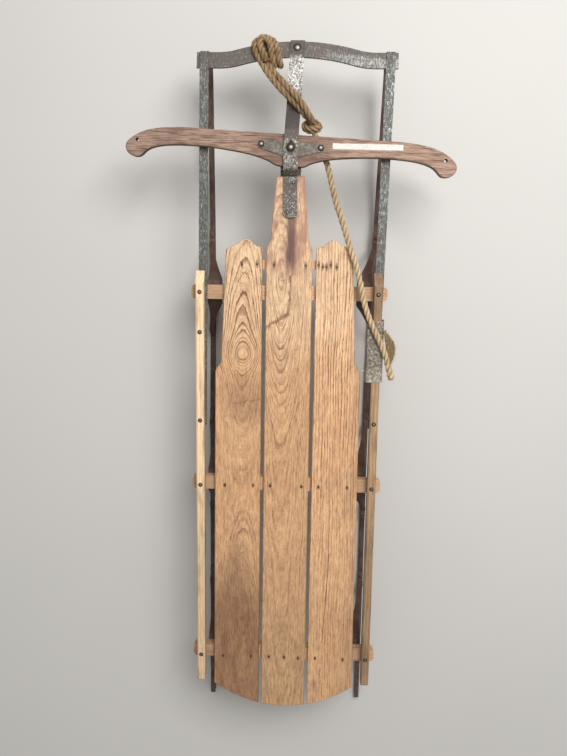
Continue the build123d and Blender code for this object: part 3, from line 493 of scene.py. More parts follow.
def stick(name, axes, heart, width, light, dark, shift):
    """A stick's finish. axes names its own directions, along, across and up, out of x, s and z; heart is its
    place across and up; shift changes colour and height and gives the roughness."""
    f = Finish(name, specular=0.3)
    run, side, rise = (getattr(f, axis) for axis in axes)
    bend = f.noise(f.vector(run / 180, side / 30, rise / 30)) - 0.5
    ring = ring_number(side - heart[0] + bend * 14, rise - heart[1], width)
    fine = f.noise(f.vector(run / 40, side / 1.6, rise / 1.6), 3.0, 0.65)
    line = year_line(f, ring)
    pore = f.step(f.noise(f.vector(run / 22, side / 0.9, rise / 0.9), 2.0, 0.6), 0.57, 0.66)
    colour = f.mix(line * 0.45 + (fine - 0.5) * 0.9 + pore * 0.35, light, dark)
    height = 1 - line * 0.4 - pore * 0.6
    colour, height, rough = shift(f, colour, height, fine)
    return f.done(colour, rough=rough, height=height, depth=0.0006, strength=0.5)


def bench_shift(f, colour, height, fine):
    """Paler in the gaps between the slats, which is painted light, and at the right end; painted shade on the
    faces that turn downwards, and grime in lumps.
    """
    grime = f.lumps(60, 20, 20, 3.0)
    # Faces that turn downwards are darker: painted shade.
    low = f.step(f.facing[2], 0.3, -0.5)
    from_gap = (f.x.sum("ABSOLUTE") - SLAT_GAP).sum("ABSOLUTE")
    # Lighter in the gaps between the slats, which is painted light, and paler at the right end.
    kept = f.step(from_gap, 7.0, 4.0) * 0.52 + f.step(f.x, 150, 205) * 0.26
    colour = f.shaded(colour, 1 + kept - low * 0.45 - f.step(grime, 0.5, 0.75) * 0.25)
    return colour, height, fine * 0.15 + 0.62


def rail_shift(f, colour, height, fine):
    """Browner ahead of the mend, on the right, duller behind, with grime in patches and painted shade on
    every face but the top.
    """
    front = f.step(f.s + (fine - 0.5) * 60, 890, 960) * f.step(f.x, -50, 50)
    colour = f.stained(front * 0.8, colour, tone(132, 104, 84), 0.5, 0.66)
    grime = f.lumps(14, 90, 14, 4.0, 0.6)
    colour = f.shaded(colour, 1 - f.step(f.s, 640, 380) * 0.24)
    # Every face but the top is darker: painted shade on the sides.
    top = f.step(f.facing[2], 0.2, 0.9)
    colour = f.shaded(colour, 1 - f.step(grime, 0.45, 0.7) * 0.38 - (1 - top) * 0.35)
    return colour, height, fine * 0.15 + 0.55


def bar_shift(f, colour, height, fine):
    """Weathered: pale on the right arm, dark round the iron plate, with open splits along the grain, which
    runs with the bar and so is turned as the bar is. Its side faces are darkened by painted shade."""
    wide = f.lumps(70, 22, 22, 3.0, 0.6)
    middle = f.step((f.x + (wide - 0.5) * 80).sum("ABSOLUTE"), 120, 40)
    left = f.step(f.x, 60, -230)
    colour = f.mix(middle * 0.6, colour, tone(112, 86, 74))
    colour = f.shaded(colour, 1 - left * 0.12 - f.step(wide, 0.42, 0.72) * 0.30)
    turned = f.s + f.x * math.tan(BAR_TURN)
    dark = f.step(f.noise(f.vector(f.x / 34, turned / 2.8, f.z / 2.8), 4.0, 0.72), 0.45, 0.66)
    colour = f.mix(dark * 0.72, colour, tone(84, 60, 46))
    split = f.step(f.noise(f.vector(f.x / 65, turned / 2.1, f.z / 2.1), 2.0, 0.6), 0.62, 0.68)
    colour = f.mix(split * 0.72, colour, tone(52, 34, 26))
    # Faces that turn away from straight up are darker: painted shade.
    side = f.step(f.facing[2], 0.75, 0.2)
    return f.shaded(colour, 1 - side * 0.55), height - split * 0.7, fine * 0.2 + 0.58


STICKS = (
    ("bench_wood", "xsz", (-30, 120), 3.4, tone(188, 152, 120), tone(128, 92, 64), bench_shift,
     ("bench_front", "bench_middle", "bench_rear", "front_cleat")),
    ("rail_left_wood", "sxz", (-240, 160), 4.6, tone(250, 216, 174), tone(180, 138, 98), rail_shift,
     ("rail_left",)),
    ("rail_right_wood", "sxz", (150, 160), 4.6, tone(182, 149, 113), tone(114, 82, 55), rail_shift,
     ("rail_right",)),
    ("bar_wood", "xsz", (1270, 150), 3.0, tone(176, 146, 126), tone(112, 82, 68), bar_shift,
     ("steering_bar",)),
)
for *choices, pieces in STICKS:
    coat(stick(*choices), *pieces)
print("sticks finished", sum(len(pieces) for *_, pieces in STICKS))

# %% [markdown]
# ## Metal
# The steel is old strap iron. Some of it still carries zinc, which flakes into bright and dull patches the
# size of a fingernail, and its brightest specks are painted glints of light; the rest is bare, dark and
# lightly rusted. One recipe mixes the three.

# %% Old steel
def old_steel(name, bare, zinc, kept, rust=0.2, speck=4.0, metal=0.75, bright=None, drawn=1.0):
    """Steel with flakes of zinc left on it. kept is the share of zinc, a number or a function of the finish;
    rust is the strength of the brown film, either way too; speck is the length of a flake in millimetres and
    drawn its width across the sled as a share of that; bright is the colour of painted glints of light."""
    f = Finish(name, specular=0.5)
    share = kept(f) if callable(kept) else kept
    flake = f.lumps(speck * drawn, speck, speck, 4.0, 0.68, 0.6)
    grit = f.lumps(1.1, 1.1, 1.1, 3.0, 0.7)
    cloud = f.lumps(40, 55, 40, 3.0, 0.55)
    left = f.step(flake * 0.6 + grit * 0.4 + share, 0.46, 0.58)
    colour = f.mix(left, bare, zinc)
    if bright is not None:
        # Painted glints: the brightest zinc specks take the bright colour, as light caught on them.
        painted_glint = f.step(grit * 0.45 + flake * 0.55 + share * 0.8, 0.56, 0.66)
        colour = f.mix(painted_glint, colour, bright)
    film = f.step(cloud + (grit - 0.5) * 0.5, 0.42, 0.72) * (rust(f) if callable(rust) else rust)
    colour = f.mix(film, colour, tone(104, 72, 52))
    colour = f.shaded(colour, grit * 0.5 + cloud * 0.5 + 0.5)
    height = left * 0.5 + grit * 0.5
    rough = 0.62 - left * 0.16 + film * 0.5
    return f.done(colour, rough=rough, metal=metal - film * 1.2, height=height, depth=0.0003, strength=0.45)


# %% [markdown]
# Zinc lasts where nothing rubs and goes where hands, rope and snow do, so on some pieces its share changes
# from place to place. Where the centre strap's end lies on the tilted bumper, its share drops as painted
# shade.

# %% Where the zinc is left
PIVOT_STATION = 1272
BUMPER_REAR, BUMPER_BOW = 1459, 24


def strap_zinc(f):
    """Bright at the nose and round the pivot, dull between, half worn on the deck, and darker where its end
    lies tilted on the bumper, which is painted shade.
    """
    nose = f.step(f.s, 1392, 1420)
    pivot = f.step((f.s - PIVOT_STATION).sum("ABSOLUTE"), 52, 34) * 0.8
    # Where the strap's end lies on the tilted bumper it is darker: painted shade of its forward tilt.
    tilt_shade = f.step(f.s, 1478, 1492)
    return nose * 0.14 + pivot * 0.11 - 0.10 + f.step(f.s, 1250, 1180) * 0.07 - tilt_shade * 0.13


def bumper_zinc(f):
    """Dull and streaked along the bar on the left; on the right it covers all but the bar's front edge. fore
    is how far ahead of the bar's bowed rear edge a place lies."""
    fore = f.s - BUMPER_REAR - f.step((f.x - 4).sum("ABSOLUTE"), 170, 5) * BUMPER_BOW
    streak = f.noise(f.vector(f.x / 60, fore / 4, 0.0), 3.0, 0.6) - 0.5
    return f.step(f.x, -20, 150) * f.step(fore, 30, 18) * 0.10 - 0.07 + streak * 0.22


def sleeve_zinc(f):
    """A little more towards the rear half of the mend."""
    return f.step(f.s, 850, 800) * 0.06 + 0.005


def sleeve_rust(f):
    """More along the rear edge, where the sheet holds water."""
    return f.step(f.s, 808, 786) * 0.6 + 0.3


STEELS = (
    (("centre_strap", "lower_pivot_strap"), old_steel(
        "centre_strap_steel", tone(92, 86, 80), tone(150, 148, 142), strap_zinc, 0.15, 4.0,
        bright=tone(238, 238, 234),
    )),
    (("return_strap_left", "return_strap_right"), old_steel(
        "return_strap_steel", tone(88, 88, 84), tone(134, 136, 132), -0.02, 0.2, 9.0,
        bright=tone(206, 212, 210), drawn=0.3,
    )),
    (("bumper_bar",), old_steel(
        "bumper_steel", tone(102, 96, 90), tone(146, 144, 140), bumper_zinc, 0.2, 9.0,
        bright=tone(206, 208, 208), drawn=0.26,
    )),
    (("steering_plate",), old_steel(
        "plate_steel", tone(96, 92, 86), tone(128, 123, 114), -0.02, 0.2, 5.0, metal=0.6,
    )),
    (("repair_sleeve",), old_steel(
        "sheet_zinc", tone(104, 96, 82), tone(158, 150, 134), sleeve_zinc, sleeve_rust, 6.0, metal=0.5,
        bright=tone(214, 210, 196),
    )),
    (("teardrop_washer",), old_steel(
        "washer_steel", tone(58, 52, 48), tone(96, 90, 84), -0.05, 0.1, 4.0,
    )),
)
for pieces, steel in STEELS:
    coat(steel, *pieces)
print("steel finishes", len(STEELS))

# %% [markdown]
# Runners and knees carry the last of a dark red-brown paint, worn to bare steel on the soles and in patches.
# Rivet heads are lighter on their crowns: rubbed steel and a painted highlight.

# %% Painted steel and rivets
def worn_paint(name, paint, bare):
    """Paint that is thin in patches; the sole, which faces down, is rubbed to steel."""
    f = Finish(name, specular=0.4)
    patch = f.lumps(22, 45, 22, 4.0, 0.62)
    grit = f.lumps(1.6, 1.6, 1.6, 3.0, 0.7)
    sole = f.step(f.facing[2], -0.7, -0.95) * f.step(f.z, 40, 8)
    lost = f.step(patch + (grit - 0.5) * 0.3, 0.56, 0.66).sum("MAXIMUM", sole)
    colour = f.mix(lost, f.shaded(paint, grit * 0.7 + 0.65), f.shaded(bare, grit * 0.8 + 0.6))
    dust = f.step(f.facing[2], 0.3, 0.9) * f.step(patch, 0.35, 0.6)
    colour = f.mix(dust * 0.28, colour, tone(128, 112, 96))
    rough, height = 0.66 - lost * 0.14 + dust * 0.1, 1 - lost * 0.7 + grit * 0.3
    return f.done(colour, rough=rough, metal=lost * 0.6, height=height, depth=0.0003)


def rivet_steel(name, dark, crown):
    """Dark heads with a lighter crown where the face points straight up: rubbed steel and a painted
    highlight.
    """
    f = Finish(name, specular=0.5)
    grit = f.lumps(1.3, 1.3, 1.3, 3.0, 0.7)
    # The crown's lighter colour is rubbed steel and a painted highlight.
    rubbed = f.step(f.facing[2] + (grit - 0.5) * 0.2, 0.88, 1.0)
    colour = f.shaded(f.mix(rubbed * 0.75, dark, crown), grit * 0.7 + 0.65)
    return f.done(colour, rough=0.60 - rubbed * 0.10, metal=0.7 + rubbed * 0.1, height=grit, depth=0.0002)


RUNNER_PAINT = worn_paint("runner_paint", tone(62, 37, 30), tone(90, 82, 74))
KNEE_PAINT = worn_paint("knee_paint", tone(70, 43, 34), tone(84, 76, 68))
DARK_RIVET = rivet_steel("rivet_steel", tone(72, 58, 50), tone(150, 138, 124))
BRIGHT_RIVET = rivet_steel("pivot_steel", tone(74, 68, 62), tone(186, 180, 170))
for side in ("left", "right"):
    coat(RUNNER_PAINT, "runner_" + side)
    coat(KNEE_PAINT, *(f"knee_{piece}_{side}" for piece in ("front", "middle", "rear", "rivets")))
    coat(DARK_RIVET, "rail_rivets_" + side)
coat(DARK_RIVET, "bumper_end_rivets")
coat(BRIGHT_RIVET, "pivot_rivet", "bumper_rivet", "plate_rivets", "strap_rivets")
print("finishes so far", len(bpy.data.materials))

# %% [markdown]
# ## New surfaces
# What the solids leave out is built as grids of points: tubes with many rings, all worked out at once as one
# array. The same helper turns any stack of such tubes into one mesh, closed at both ends of each.

# %% Tubes into a mesh
# The sled's own three directions, each one long.
ACROSS, ALONG, UP = np.eye(3)


def circles(first, second, sides):
    """Unit circles (..., sides, 3): one direction times the angle's cosine plus another times its sine."""
    angle = np.linspace(0, 2 * math.pi, sides, endpoint=False)[:, None]
    return np.cos(angle) * first[..., None, :] + np.sin(angle) * second[..., None, :]


def skin(name, tubes, marks=None):
    """A mesh from an array (tubes, rings, around, 3). Each ring is joined to the next and round itself, and
    both ends close on a pole at their ring's middle. marks are arrays (tubes, rings, around) or (..., 3) that
    give each point a value. Faces that enclose a negative volume point inwards, so they are turned round."""
    count, rings, around, _ = tubes.shape
    grid = np.arange(count * rings * around).reshape(count, rings, around)
    low, high = grid[:, :-1], grid[:, 1:]
    quads = np.stack([low, np.roll(low, -1, 2), np.roll(high, -1, 2), high], -1).reshape(-1, 4)
    first, last = grid.size + np.arange(count), grid.size + count + np.arange(count)
    near = np.stack([np.roll(grid[:, 0], -1, 1), grid[:, 0], np.repeat(first[:, None], around, 1)], -1)
    far = np.stack([grid[:, -1], np.roll(grid[:, -1], -1, 1), np.repeat(last[:, None], around, 1)], -1)
    triangles = np.concatenate([near.reshape(-1, 3), far.reshape(-1, 3)])
    poles = np.concatenate([tubes[:, 0].mean(1), tubes[:, -1].mean(1)])
    points = np.concatenate([tubes.reshape(-1, 3), poles])
    corner = points[quads[:, 0]], points[quads[:, 1]], points[quads[:, 2]]
    if (np.cross(corner[0], corner[1]) * corner[2]).sum() < 0:
        quads, triangles = quads[:, ::-1], triangles[:, ::-1]
    mesh = bpy.data.meshes.new(name)
    mesh.from_pydata(points.tolist(), [], quads.tolist() + triangles.tolist())
    mesh.polygons.foreach_set("use_smooth", np.ones(len(mesh.polygons), bool))
    for mark, values in (marks or {}).items():
        flat = values.reshape(grid.size, -1)
        ends = np.concatenate([values[:, end].mean(1).reshape(count, -1) for end in (0, -1)])
        kind, field = ("FLOAT", "value") if flat.shape[1] == 1 else ("FLOAT_VECTOR", "vector")
        layer = mesh.attributes.new(mark, kind, "POINT")
        layer.data.foreach_set(field, np.concatenate([flat, ends]).ravel())
    obj = bpy.data.objects.new(name, mesh)
    bpy.context.scene.collection.objects.link(obj)
    print(name, "faces", len(mesh.polygons))
    return obj


def new_piece(name, tubes, finish, body="sled", marks=None, stands_for=()):
    """A new piece made of tubes, with its finish, material slot, body and the CAD nodes it stands for."""
    obj = skin(name, tubes, marks)
    obj.data.materials.append(finish)
    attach(obj, body)
    if stands_for:
        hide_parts(*stands_for)
    return obj


# %% [markdown]
# ## Rope
# A rope has one line that it follows. The same few points that place its solid are the control points of a
# smooth spline here, and everything that makes it look like rope is wound about that spline.

# %% The rope's lines
ROPE_ROUTES = {
    "doubled": (
        (-57, 1464, 182), (-38, 1438, 191), (-13, 1411, 198), (11, 1388, 200), (30, 1366.5, 195),
        (42, 1350, 185),
    ),
    "run": (
        (46, 1336, 167), (63, 1300, 168), (81, 1258, 168), (95, 1194, 180), (117, 1132, 190),
        (130.5, 1089, 195.5), (144.5, 1054, 195.5), (154, 1017, 198), (165.5, 966, 204.5), (180, 929, 207),
        (200.5, 889, 207.5), (218.5, 848, 204), (228, 811, 200),
    ),
    "wrap": (
        (-57, 1466, 180), (-65, 1480, 179), (-73, 1496, 176), (-75, 1511, 170), (-67, 1519.5, 166),
        (-54, 1520, 166), (-42, 1513, 169), (-34, 1499, 174), (-30, 1482, 176), (-28, 1468, 171),
        (-29, 1465, 160), (-35, 1475, 151.5), (-45, 1492, 149), (-56, 1508, 150), (-63, 1519, 157),
    ),
}


def even(points, step):
    """The same line with its points a step apart, by its length so far."""
    far = np.concatenate([[0], np.cumsum(np.linalg.norm(np.diff(points, axis=0), axis=1))])
    places = np.linspace(0, far[-1], int(far[-1] / step) + 1)
    return np.column_stack([np.interp(places, far, points[:, axis]) for axis in range(3)])


def spline_line(name, route, step=0.0015):
    """Points a step apart along the NURBS spline that has the route as its control points."""
    data = bpy.data.curves.new(name, "CURVE")
    data.dimensions = "3D"
    data.resolution_u = 32
    spline = data.splines.new("NURBS")
    spline.points.add(len(route) - 1)
    spline.points.foreach_set("co", np.column_stack([placed(route), np.ones(len(route))]).ravel())
    spline.order_u = 3
    spline.use_endpoint_u = True
    curve = bpy.data.objects.new(name, data)
    mesh = bpy.data.meshes.new_from_object(curve)
    points = np.empty(len(mesh.vertices) * 3)
    mesh.vertices.foreach_get("co", points)
    points = points.reshape(-1, 3)
    bpy.data.meshes.remove(mesh)
    bpy.data.objects.remove(curve)
    bpy.data.curves.remove(data)
    return even(points, step)


def length_of(points):
    """The sum of the distances from each point to the next."""
    return float(np.linalg.norm(np.diff(points, axis=0), axis=1).sum())


lines = {name: spline_line(name, route) for name, route in ROPE_ROUTES.items()}
for name, points in lines.items():
    print(name, "spline", round(length_of(points) * 1000, 1), "mm")

# %% [markdown]
# Laid rope is three strands wound round each other, and each strand is a bundle of yarns wound the other
# way. Both windings are modelled: the strands as tubes on a helix, the yarns as ridges on each tube. A strand
# that touches its two neighbours has 0.464 of the rope's radius, and in use they swell a little past that.

# %% Laying strands
ROPE_RADIUS = 0.0065
LAY_LENGTH = 0.044
STRAND_SHARE, STRAND_SWELL, STRAND_SIDES = 0.464, 1.10, 18
YARNS, YARN_TWIST = 9, 1.35
BURST_REACH = 0.05


def unit(vectors):
    """Each vector over its own length."""
    return vectors / np.linalg.norm(vectors, axis=-1, keepdims=True)


def square_pair(points, aim):
    """Two directions square to a line and to each other at each point; the first leans towards aim."""
    ahead = unit(np.gradient(points, axis=0))
    first = unit(aim - (aim * ahead).sum(-1, keepdims=True) * ahead)
    return first, np.cross(ahead, first)


def offset_line(points, aim, turn, reach):
    """A line beside another: reach from it, at an angle turn from the direction aim."""
    first, second = square_pair(points, aim)
    return points + reach[:, None] * (np.cos(turn)[:, None] * first + np.sin(turn)[:, None] * second)


def laid_rope(line, radius, aim=(0, 0, 1.0), lay=LAY_LENGTH, start=0.0, loose=0.0, burst=0.0):
    """Three strands as (3, rings, around, 3), with how far out each point lies and where along and round the
    yarns it is. A strand's line is a helix of one turn per lay, and its section a circle with ridges, which
    turn the other way. burst is how much thicker the rope has grown at its far end."""
    far = np.linspace(0, length_of(line), len(line))
    radius = radius * (1 + burst * np.clip((far - far[-1]) / BURST_REACH + 1, 0, 1))
    strand = radius * STRAND_SHARE * STRAND_SWELL
    tubes, groove, fibre = [], [], []
    angle = np.linspace(0, 2 * math.pi, STRAND_SIDES, endpoint=False)
    for number in range(3):
        turn = start + 2 * math.pi * (far / lay + number / 3)
        wander = 1 + 0.06 * np.sin(far * 190 + number * 2.1) + loose * np.sin(far * 70 + number)
        reach = (radius - strand) * wander
        centre = offset_line(line, np.array(aim), turn, reach)
        out, side = square_pair(centre, unit(centre - line))
        wound = angle[None] - (far / lay * 2 * math.pi * YARN_TWIST)[:, None]
        swell = 1 + 0.055 * np.cos(YARNS * wound) + 0.03 * np.sin(far * 260 + number * 1.7)[:, None]
        swell = swell * (1 + 0.03 * np.sin(3 * wound + far[:, None] * 400))
        swell = swell + chance.normal(0, 0.035, wound.shape)
        ring = circles(out, side, STRAND_SIDES)
        tubes.append(centre[:, None] + strand[:, None, None] * swell[..., None] * ring)
        from_line = np.linalg.norm(tubes[-1] - line[:, None], axis=-1) / radius[:, None]
        # How far out a point lies, for the painted shade between strands and for the bump.
        groove.append(from_line * 0.8 + np.cos(YARNS * wound) * 0.10)
        along = np.repeat(far[:, None] * 60 + number * 9, STRAND_SIDES, 1)
        fibre.append(np.stack([np.cos(wound) * 3.0, np.sin(wound) * 3.0, along], -1))
    return np.stack(tubes), np.stack(groove), np.stack(fibre)


# %% [markdown]
# The hemp's colour follows the winding: the groove value paints shade on what lies deep between strands,
# and the fibre value runs the streaks along the yarns. Both come from the mesh, so they bend with the rope.

# %% Hemp
def rope_finish(name, light, dark, laid=True):
    """Dry hemp: painted shade down in the grooves, streaked along the yarns, with grime in soft patches and
    more of it ahead. Loose fibres have no grooves and take their streaks from their place instead."""
    f = Finish(name, specular=0.15)
    depth, fibre = 0.9, f.vector(f.x / 2.4, f.s / 6, f.z / 2.4)
    if laid:
        depth = f.node("ShaderNodeAttribute", {"attribute_name": "groove"}, output="Fac")
        fibre = f.node("ShaderNodeAttribute", {"attribute_name": "fibre"}, output="Vector")
    streak = f.noise(fibre, 4.0, 0.7)
    patch = f.lumps(26, 26, 26)
    # What lies deep between the strands is darker: painted shade.
    colour = f.mix(f.step(depth, 0.86, 0.56) * 0.62 + (streak - 0.5) * 1.3, light, dark)
    handled = f.step(f.s, 1060, 1180) * 0.28 + f.step(f.s, 1300, 1345) * 0.38
    colour = f.mix(f.step(patch, 0.45, 0.75) * 0.3 + handled, colour, tone(112, 84, 56))
    rough, height = 0.86 + (streak - 0.5) * 0.1, streak * 0.5 + depth * 0.5
    return f.done(colour, rough=rough, height=height, depth=0.0005, strength=0.6)


HEMP = rope_finish("rope_hemp", tone(212, 186, 148), tone(92, 70, 48))


def hemp_piece(name, rope, node):
    """A length of laid rope, in place of the plain tube that its CAD node is."""
    tubes, groove, fibre = rope
    marks = {"groove": groove, "fibre": fibre}
    return new_piece(name, tubes, HEMP, marks=marks, stands_for=(node,))


# %% [markdown]
# The single run leaves the knot under the steering bar, comes up beside the right slat and lies over the
# rail and its mend, where it ends in a plain cut. Its end has swelled, because nothing binds it.

# %% The rope's run
run_laid = laid_rope(lines["run"], ROPE_RADIUS, burst=0.22)
rope_run = hemp_piece("rope_run_strands", run_laid, "rope_run")

# %% [markdown]
# Between bumper and knot the rope lies doubled. The pair is flat where it crosses the centre strap and turns
# on edge towards the knot, so it makes a third of a turn on its way.

# %% The doubled rope
LEG_RADIUS, LEG_SPREAD, LEG_LAY = 0.0066, 0.0063, 0.042
DOUBLED_TURNS = (math.radians(50), math.radians(165))


def pair_of_legs(line, aim, turns, spread=LEG_SPREAD, radius=LEG_RADIUS, lay=LEG_LAY):
    """Two ropes either side of a line, their pair turning evenly from the first to the last of turns, with
    their arrays joined into one stack of tubes."""
    turn = np.linspace(*turns, len(line))
    reach = np.full(len(line), spread)
    legs = [offset_line(line, aim, turn + half * math.pi, reach) for half in (0, 1)]
    laid = [laid_rope(leg, radius, aim, lay, start=half * 1.9, loose=0.05) for half, leg in enumerate(legs)]
    return [np.concatenate(group) for group in zip(*laid)]


doubled_laid = pair_of_legs(lines["doubled"], UP, DOUBLED_TURNS)
rope_doubled = hemp_piece("rope_doubled_legs", doubled_laid, "rope_doubled")

# %% [markdown]
# At the bumper the pair arches over the steel, comes back over it to the right, goes down behind and
# returns underneath. Both legs hug the steel side by side, so their pair leans away from the bumper's middle,
# and pulled tight they close the arch's eye, so the returning side moves 6 mm towards the first.

# %% The hitch round the bumper
BUMPER_CORE = placed([(-50, 1494, 163)])[0]
PULL_AT, PULL_REACH, PULL = 0.56, 0.16, (-0.006, -0.0007, 0)
SIDE_BY_SIDE = (math.radians(90), math.radians(90))
over = np.linspace(0, 1, len(lines["wrap"]))
pulled = np.exp(-((over - PULL_AT) / PULL_REACH) ** 2)[:, None] * PULL
wrap_line = lines["wrap"] + pulled
outward = unit((wrap_line - BUMPER_CORE) * (0.25, 1.0, 1.0))
wrap_laid = pair_of_legs(wrap_line, outward, SIDE_BY_SIDE, spread=0.0066, radius=0.0071, lay=0.040)
rope_wrap = hemp_piece("rope_hitch", wrap_laid, "rope_wrap")

# %% [markdown]
# The knot is a little over two tight turns of the same rope round the place where the legs end and the run
# begins. Its turns are flattened, wider across the sled than they are tall.

# %% The knot
KNOT_LOW, KNOT_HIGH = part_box("rope_knot")
KNOT_TURNS, KNOT_HALF_WIDTH, KNOT_HALF_HEIGHT, KNOT_DEPTH = 2.15, 0.0150, 0.0084, 0.013
KNOT_STEP, KNOT_ROPE_RADIUS = 0.0012, 0.0068


def knot_line():
    """A flattened helix about an axis that points down and back from the legs to the run: the depth times the
    share along the axis, plus half the width times the turn's cosine and half the height times its sine."""
    share = np.linspace(0, 1, 90)
    turn = 2 * math.pi * (KNOT_TURNS * share + 0.1)
    axis, flat, wide = np.array(((0.15, -0.62, -0.77), (0.0, 0.78, -0.63), (1.0, 0, 0.1)))
    centre = np.array((KNOT_LOW + KNOT_HIGH) / 2) + (-0.0002, -0.0012, -0.001)
    swell = 1 - 0.12 * np.cos(turn * 0.5)
    along = (share - 0.5)[:, None] * KNOT_DEPTH * axis
    across = (KNOT_HALF_WIDTH * swell * np.cos(turn))[:, None] * wide
    return centre + along + across + (KNOT_HALF_HEIGHT * np.sin(turn))[:, None] * flat


knot_laid = laid_rope(even(knot_line(), KNOT_STEP), KNOT_ROPE_RADIUS, lay=0.036, aim=(0.3, 0.6, 0.7))
rope_knot = hemp_piece("rope_knot_turns", knot_laid, "rope_knot")

# %% [markdown]
# Old hemp is hairy, and at the run's end a bundle of fibres has worked loose and bows out beside the rope.
# A hair is a very thin tapered tube, so thousands of them are one array as well. Where the bar swings over
# the rope, hairs that would reach its underside are left off.

# %% Loose fibres
HAIR_RINGS, HAIR_SIDES, HAIR_THICK, HAIR_SUNK = 5, 3, 0.00022, 0.0002
BAR_UNDERSIDE = 0.170
BAR_SWEEP = (1230, 1338)


def hairs(starts, ways, lengths, curl, thick):
    """Thin tubes (count, rings, sides, 3): each leaves its start along its way, curls aside by the square of
    the share of its length, and tapers to its tip."""
    share = np.linspace(0, 1, HAIR_RINGS)[None, :, None]
    aside = unit(np.cross(ways, chance.normal(size=(len(starts), 3))))
    bend = share * ways[:, None] + curl * share**2 * aside[:, None]
    line = starts[:, None] + lengths[:, None, None] * bend
    ring = circles(aside, np.cross(ways, aside), HAIR_SIDES)
    return line[:, :, None] + thick * (1 - 0.75 * share[..., None]) * ring[:, None]


def hair_on(tubes, count, length, lean):
    """Hairs on random points of laid strands, leaning along the rope by lean."""
    strand, ring = chance.integers(0, tubes.shape[0], count), chance.integers(1, tubes.shape[1] - 1, count)
    side = chance.integers(0, tubes.shape[2], count)
    start = tubes[strand, ring, side]
    middle = tubes[strand, ring].mean(1)
    ahead = unit(tubes[strand, ring + 1].mean(1) - middle) * chance.choice([-1, 1], (count, 1))
    way = unit(unit(start - middle) * (1 - lean) + ahead * lean + chance.normal(0, 0.25, (count, 3)))
    return hairs(start - way * HAIR_SUNK, way, length * chance.uniform(0.4, 1.0, count), 0.5, HAIR_THICK)


# The rope, how many hairs it has, how long they are at most and how far they lean.
FUZZ = (
    (run_laid, 900, 0.0036, 0.6), (doubled_laid, 1500, 0.0065, 0.55),
    (wrap_laid, 1500, 0.0070, 0.5), (knot_laid, 900, 0.0042, 0.4),
)
fuzz = np.concatenate([hair_on(rope[0], *choices) for rope, *choices in FUZZ])
tips = fuzz[:, -1].mean(1)
tip_station = tips[:, 1] * 1000 + ORIGIN_STATION
in_bar_way = (tips[:, 2] > BAR_UNDERSIDE) & (tip_station > BAR_SWEEP[0]) & (tip_station < BAR_SWEEP[1])
fuzz = fuzz[~in_bar_way]
print("hairs", len(fuzz), "left off where the bar swings", int(in_bar_way.sum()))
HAIR = rope_finish("rope_fibre", tone(214, 190, 152), tone(150, 118, 84), laid=False)
FRAY = rope_finish("rope_fray", tone(160, 138, 104), tone(50, 38, 22), laid=False)
new_piece("rope_hairs", fuzz, HAIR)

# %% [markdown]
# The loose bundle is a strand that has unlaid and swelled: it leaves the rope near its end, bows out to the
# right and comes to a point further forward. Each fibre takes its own share of the bow, and shorter ones
# stand out of the bundle every way.

# %% The frayed bundle
FRAY_START, FRAY_END = placed([(221, 838, 203), (207, 917, 203)])
FRAY_BOW = np.array((0.0185, 0.004, -0.002))
FRAY_FIBRES, FRAY_RINGS, FRAY_SIDES, WILD_FIBRES = 120, 15, 4, 700
FRAY_THICK, TUFT_THICK = 0.0005, 0.0003


def bundle(count, start, end, bow, thick):
    """Fibres (count, rings, sides, 3) from start to end: a straight run plus the bow times a sine hump, each
    with its own share of the hump and its own small wander."""
    share = np.linspace(0, 1, FRAY_RINGS)
    hump = np.sin(math.pi * share ** 0.85)[None, :, None]
    amount = chance.uniform(0.05, 1.0, (count, 1, 1))
    lift = chance.normal(0, 0.0016, (count, 1, 1)) * UP
    speed, phase = chance.uniform(5, 16, (count, 1, 1)), chance.uniform(0, 6, (count, 1, 3))
    wave = 0.0013 * np.sin(share[None, :, None] * speed + phase)
    line = start + (end - start) * share[None, :, None] + hump * (amount * bow + lift) + wave * hump
    ahead = unit(np.gradient(line, axis=1))
    first = unit(np.cross(ahead, UP))
    ring = circles(first, np.cross(ahead, first), FRAY_SIDES)
    return line[:, :, None] + thick * (1.05 - hump[..., None] * 0.15) * ring


frayed = bundle(FRAY_FIBRES, FRAY_START, FRAY_END, FRAY_BOW, FRAY_THICK)
rope_fray = new_piece("rope_frayed_bundle", frayed, FRAY)
from_fibre = chance.integers(0, len(frayed), WILD_FIBRES)
from_ring = chance.integers(1, FRAY_RINGS - 1, WILD_FIBRES)
wild_ways = unit(chance.normal(0, 1, (WILD_FIBRES, 3)) + (0.7, 0.2, 0))
wild_lengths = chance.uniform(0.002, 0.0075, WILD_FIBRES)
wild = hairs(frayed[from_fibre, from_ring, 0], wild_ways, wild_lengths, 0.6, TUFT_THICK)
rope_wild = new_piece("rope_wild_fibres", wild, FRAY)

# %% [markdown]
# The cut end has no binding, so its yarns spread into a short brush. Each tuft starts between the middle of
# the cut and its rim, and points out of the rope within a cone.

# %% The cut end
CUT_TUFTS = 360
cut_rim = run_laid[0][:, -1].reshape(-1, 3)
cut_middle = cut_rim.mean(0)
cut_way = unit(lines["run"][-1] - lines["run"][-6])
cut_spokes = (cut_middle - cut_rim)[chance.integers(0, len(cut_rim), CUT_TUFTS)]
tuft_starts = cut_middle + cut_spokes * chance.uniform(0, 1, (CUT_TUFTS, 1))
tuft_ways = unit(cut_way + chance.normal(0, 0.25, (CUT_TUFTS, 3)))
tuft_lengths = chance.uniform(0.002, 0.0065, CUT_TUFTS)
cut_tufts = hairs(tuft_starts, tuft_ways, tuft_lengths, 0.3, TUFT_THICK)
rope_cut = new_piece("rope_cut_end", cut_tufts, HAIR)

# %% [markdown]
# The lengths of the run and of the doubled rope along their splines are worked out here.

length_of(lines["run"])
length_of(lines["doubled"])

